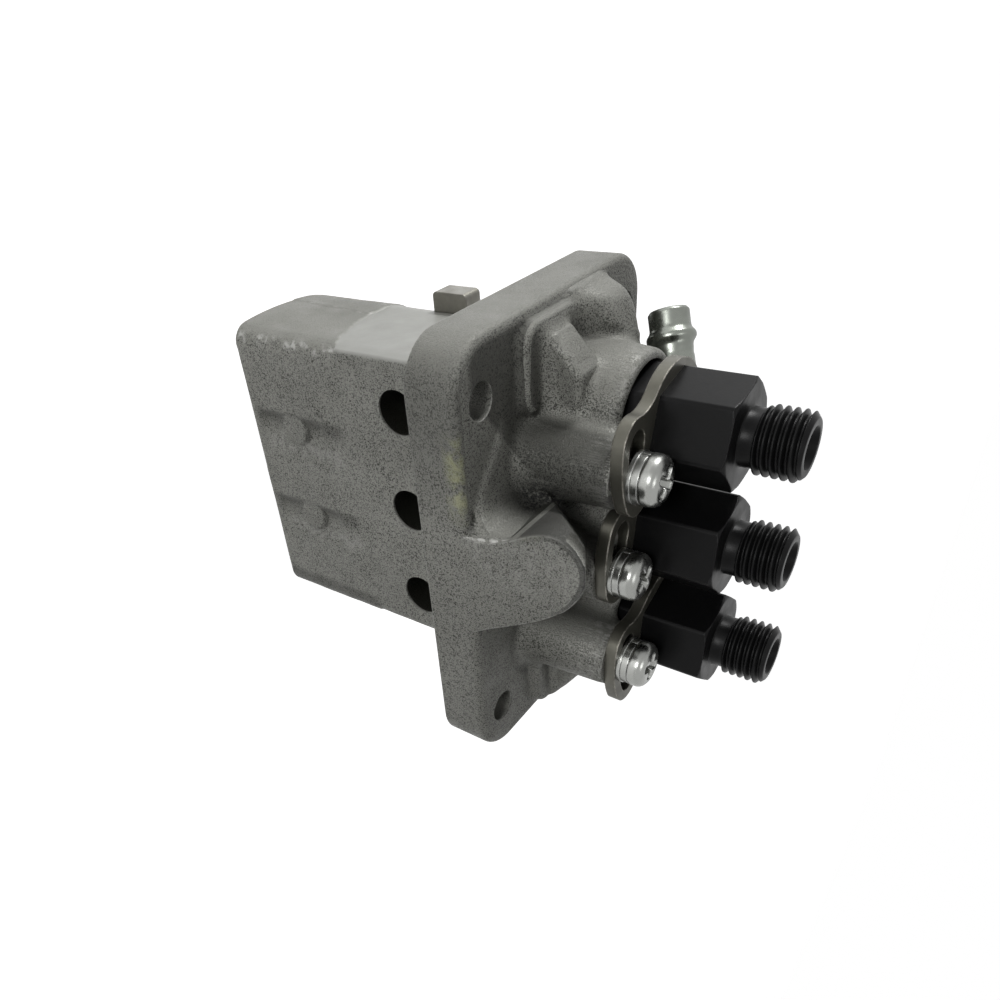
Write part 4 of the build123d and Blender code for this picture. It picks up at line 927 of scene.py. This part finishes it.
def makeHolder(number, cx, turn, h):
    corner = h["flats"] / 2 / math.cos(math.radians(30))
    sixth = np.concatenate([[0, 0.35, 0.8, 1.4, 2.2], np.linspace(3.4, 56.6, 19), [57.8, 58.6, 59.2, 59.65]])
    theta = np.radians(turn + np.concatenate([sixth + 60 * k for k in range(6)]))
    local = (np.degrees(theta) - turn) % 60 - 30
    hexagon = np.minimum(h["flats"] / 2 / np.cos(np.radians(local)), corner - 0.16)
    slant = np.tan(np.radians(30))
    rows = []  # height, plain radius, kind: 0 turned, 1 hexagon, 2 thread

    def add(z, r, kind=0):
        rows.append((z, r, kind))

    add(h["foot"], h["roomRadius"])
    add(h["foot"], h["footRadius"] - 0.3)
    add(h["foot"] + 0.3, h["footRadius"])
    for z in (12.0, 17.0, 17.1, 17.25):
        add(z, h["footRadius"])
    for z, r in ((17.35, 6.6), (19.05, 6.6), (19.15, 8.0), (20.4, 8.0)):
        add(z, r)
    add(h["hexLow"], h["footRadius"] - 0.1)
    add(h["hexLow"], corner - h["chamfer"] - 0.15)
    for z in np.linspace(h["hexLow"], h["hexLow"] + 0.6, 5):
        add(z + 0.01, corner - h["chamfer"] + (z - h["hexLow"]) / slant, 1)
    for z in np.linspace(h["hexLow"] + 1.4, h["hexTop"] - 1.6, 12):
        add(z, 99, 1)
    for z in np.linspace(h["hexTop"] - 1.3, h["hexTop"] - 0.03, 12):
        add(z, corner - h["chamfer"] + (h["hexTop"] - z) / slant, 1)
    for r in (8.78, 8.4, 7.0, 5.6):
        add(h["hexTop"], r, 1)
    add(h["hexTop"] + 0.12, h["neckRadius"] + 0.12)
    add(h["hexTop"] + 0.35, h["neckRadius"])
    add(h["neckTop"] - 0.2, h["neckRadius"])
    for z in np.linspace(h["neckTop"] - 0.1, h["top"] - 0.02, 150):
        add(z, h["threadRadius"], 2)
    for r in np.linspace(h["threadRadius"] - h["endChamfer"], h["coneRadius"], 5)[1:]:
        add(h["top"], r)
    cone = (h["coneRadius"] - h["boreRadius"]) / slant
    for share in (0.03, 0.5, 0.97, 1.0):
        add(h["top"] - cone * share, h["coneRadius"] - (h["coneRadius"] - h["boreRadius"]) * share)
    add(h["roomTop"], h["boreRadius"])
    add(h["roomTop"], h["roomRadius"])
    add(h["foot"], h["roomRadius"])

    z, plain, kind = (np.array(column)[:, None] + 0 * theta for column in zip(*rows))
    # Thread: a V of the given depth that climbs one pitch a turn, with a narrow crest and a round root
    phase = (z / h["threadPitch"] - theta / (2 * math.pi)) % 1
    wave = np.abs(phase - 0.5) * 2
    cut = h["threadDepth"] * np.clip((wave - 0.14) / 0.70, 0, 1)
    cut = cut * ease(z, h["neckTop"] - 0.1, h["neckTop"] + 0.5)
    screw = np.minimum(plain - cut, h["threadRadius"] - h["endChamfer"] + (h["top"] - z) * 1.15)
    lead = ease(z, h["neckTop"] - 0.1, h["neckTop"] + 0.35)
    screw = h["neckRadius"] + (screw - h["neckRadius"]) * lead
    radius = np.where(kind == 1, np.minimum(plain, hexagon), np.where(kind == 2, screw, plain))
    points = np.stack([cx + radius * np.cos(theta), rowY + radius * np.sin(theta), z], axis=-1)
    piece = gridPiece(f"holder{number}", points, "black_oxide_steel", wrap=True)
    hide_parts(f"delivery_holder_{number}")


for number, (cx, turn) in enumerate(zip(elementX, holder["turns"]), 1):
    makeHolder(number, cx, turn, holder)


# Screws: a turned pan head with a cross recess pressed into it

screw = {"headRadius": 4.6, "headHeight": 3.3, "shank": 2.5, "depth": 12.0, "under": 4.4,
         "recessHalf": 2.7, "recessWidth": 0.78, "recessDepth": 1.9, "turns": (35.0, 62.0, 20.0)}


def makeScrews(s):
    theta = np.radians(np.linspace(0, 360, 144, endpoint=False))
    radii = np.concatenate([np.linspace(0.02, 2.9, 26), np.linspace(3.0, s["headRadius"] - 0.02, 16)])
    # The head's top is nearly flat in the middle and falls in a quarter ellipse to its side
    edge = np.maximum(radii - (s["headRadius"] - 1.9), 0) / 1.9
    dome = 0.12 * (radii / s["headRadius"]) ** 2 + 1.75 * (1 - np.sqrt(np.maximum(1 - edge ** 2, 0)))
    for number, ((sx, sy), level) in enumerate(zip(screwSpots, plateLevels), 1):
        low = level + s["under"]
        top = low + s["headHeight"]
        shape = list(zip(radii, top - dome))
        shape += [(s["headRadius"], z) for z in np.linspace(top - 1.9, low + 0.25, 4)]
        shape += [(s["headRadius"] - 0.2, low), (s["shank"] + 0.05, low), (s["shank"], low - 0.1),
                  (s["shank"], low - s["depth"]), (0.02, low - s["depth"])]
        r, z = (np.array(column)[:, None] + 0 * theta for column in zip(*shape))
        turned = theta + math.radians(s["turns"][number - 1])
        a, b = np.abs(r * np.cos(turned)), np.abs(r * np.sin(turned))
        arm, run = np.minimum(a, b), np.maximum(a, b)
        # Cross recess: deepest along its arms, with steep walls that lean in towards its floor
        press = np.clip((s["recessWidth"] - arm) / 0.28, 0, 1) * np.clip((s["recessHalf"] - run) / 1.1, 0, 1)
        dish = 0.12 * np.clip((1.9 - arm - run * 0.2) / 1.0, 0, 1) * (run < 3.1)
        isTop = np.arange(len(shape))[:, None] < len(radii)
        z = z - np.where(isTop, s["recessDepth"] * press + dish, 0)
        points = np.stack([sx + r * np.cos(theta), sy + r * np.sin(theta), z], axis=-1)
        piece = gridPiece(f"plateScrew{number}", points, "zinc_screws", wrap=True, flip=True)
        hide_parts("lock_plate_screws")


makeScrews(screw)


# Inlet pipe: a wall profile carried up, round a bend and out to the hose end

pipe = {"low": 4.0, "bendStart": 16.0, "bend": 8.0, "turn": 111.0, "heading": 156.6, "straight": 13.0,
        "radius": 3.95, "wall": 0.9, "beadBack": 5.2, "beadHeight": 0.8, "beadHalf": 1.3}


def makePipe(p):
    heading = np.array([math.cos(math.radians(p["heading"])), math.sin(math.radians(p["heading"])), 0.0])
    upright = np.array([0, 0, 1.0])
    side = np.cross(heading, upright)
    arc = p["bend"] * math.radians(p["turn"])
    up = p["bendStart"] - p["low"]
    total = up + arc + p["straight"]
    s = np.concatenate([np.linspace(0, up, 12), np.linspace(up, up + arc, 40)[1:],
                        np.linspace(up + arc, total, 90)[1:]])
    bend = np.clip((s - up) / p["bend"], 0, math.radians(p["turn"]))[:, None]
    past = np.maximum(s - up - arc, 0)[:, None]
    climb = np.minimum(s, up)[:, None]
    away = p["bend"] * (1 - np.cos(bend)) + past * np.sin(bend)
    height = climb + p["bend"] * np.sin(bend) + past * np.cos(bend)
    centre = np.array([*inletSpot, p["low"]]) + heading * away + upright * height
    across = heading * np.cos(bend) - upright * np.sin(bend)
    # The hose end: a bead, a shallow hollow behind it, and a rounded mouth
    fromEnd = total - s
    bead = p["beadHeight"] * np.exp(-(np.abs((fromEnd - p["beadBack"]) / p["beadHalf"]) ** 2.6) * 1.6)
    hollow = 0.10 * np.exp(-((fromEnd - p["beadBack"] - 3.2) / 0.6) ** 2)
    outer = p["radius"] + bead - 0.35 * ease(-fromEnd, -0.5, 0) - hollow
    # Rows: out along the outside, over the mouth, and back along the bore to the first row
    inner = p["radius"] - p["wall"]
    backward = np.arange(len(s) - 4, -1, -4)
    order = np.concatenate([np.arange(len(s)), [len(s) - 1, len(s) - 2], backward, [0]])
    mouth = [p["radius"] - p["wall"] * 0.55, inner]
    radius = np.concatenate([outer, mouth, np.full(len(backward), inner), outer[:1]])
    theta = np.linspace(0, 2 * math.pi, 96, endpoint=False)
    ring = np.cos(theta)[None, :, None] * across[order][:, None] + np.sin(theta)[None, :, None] * side
    points = centre[order][:, None] + radius[:, None, None] * ring
    piece = gridPiece("inletTube", points, "zinc_pipe", wrap=True, flip=True)
    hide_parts("inlet_pipe")


makePipe(pipe)
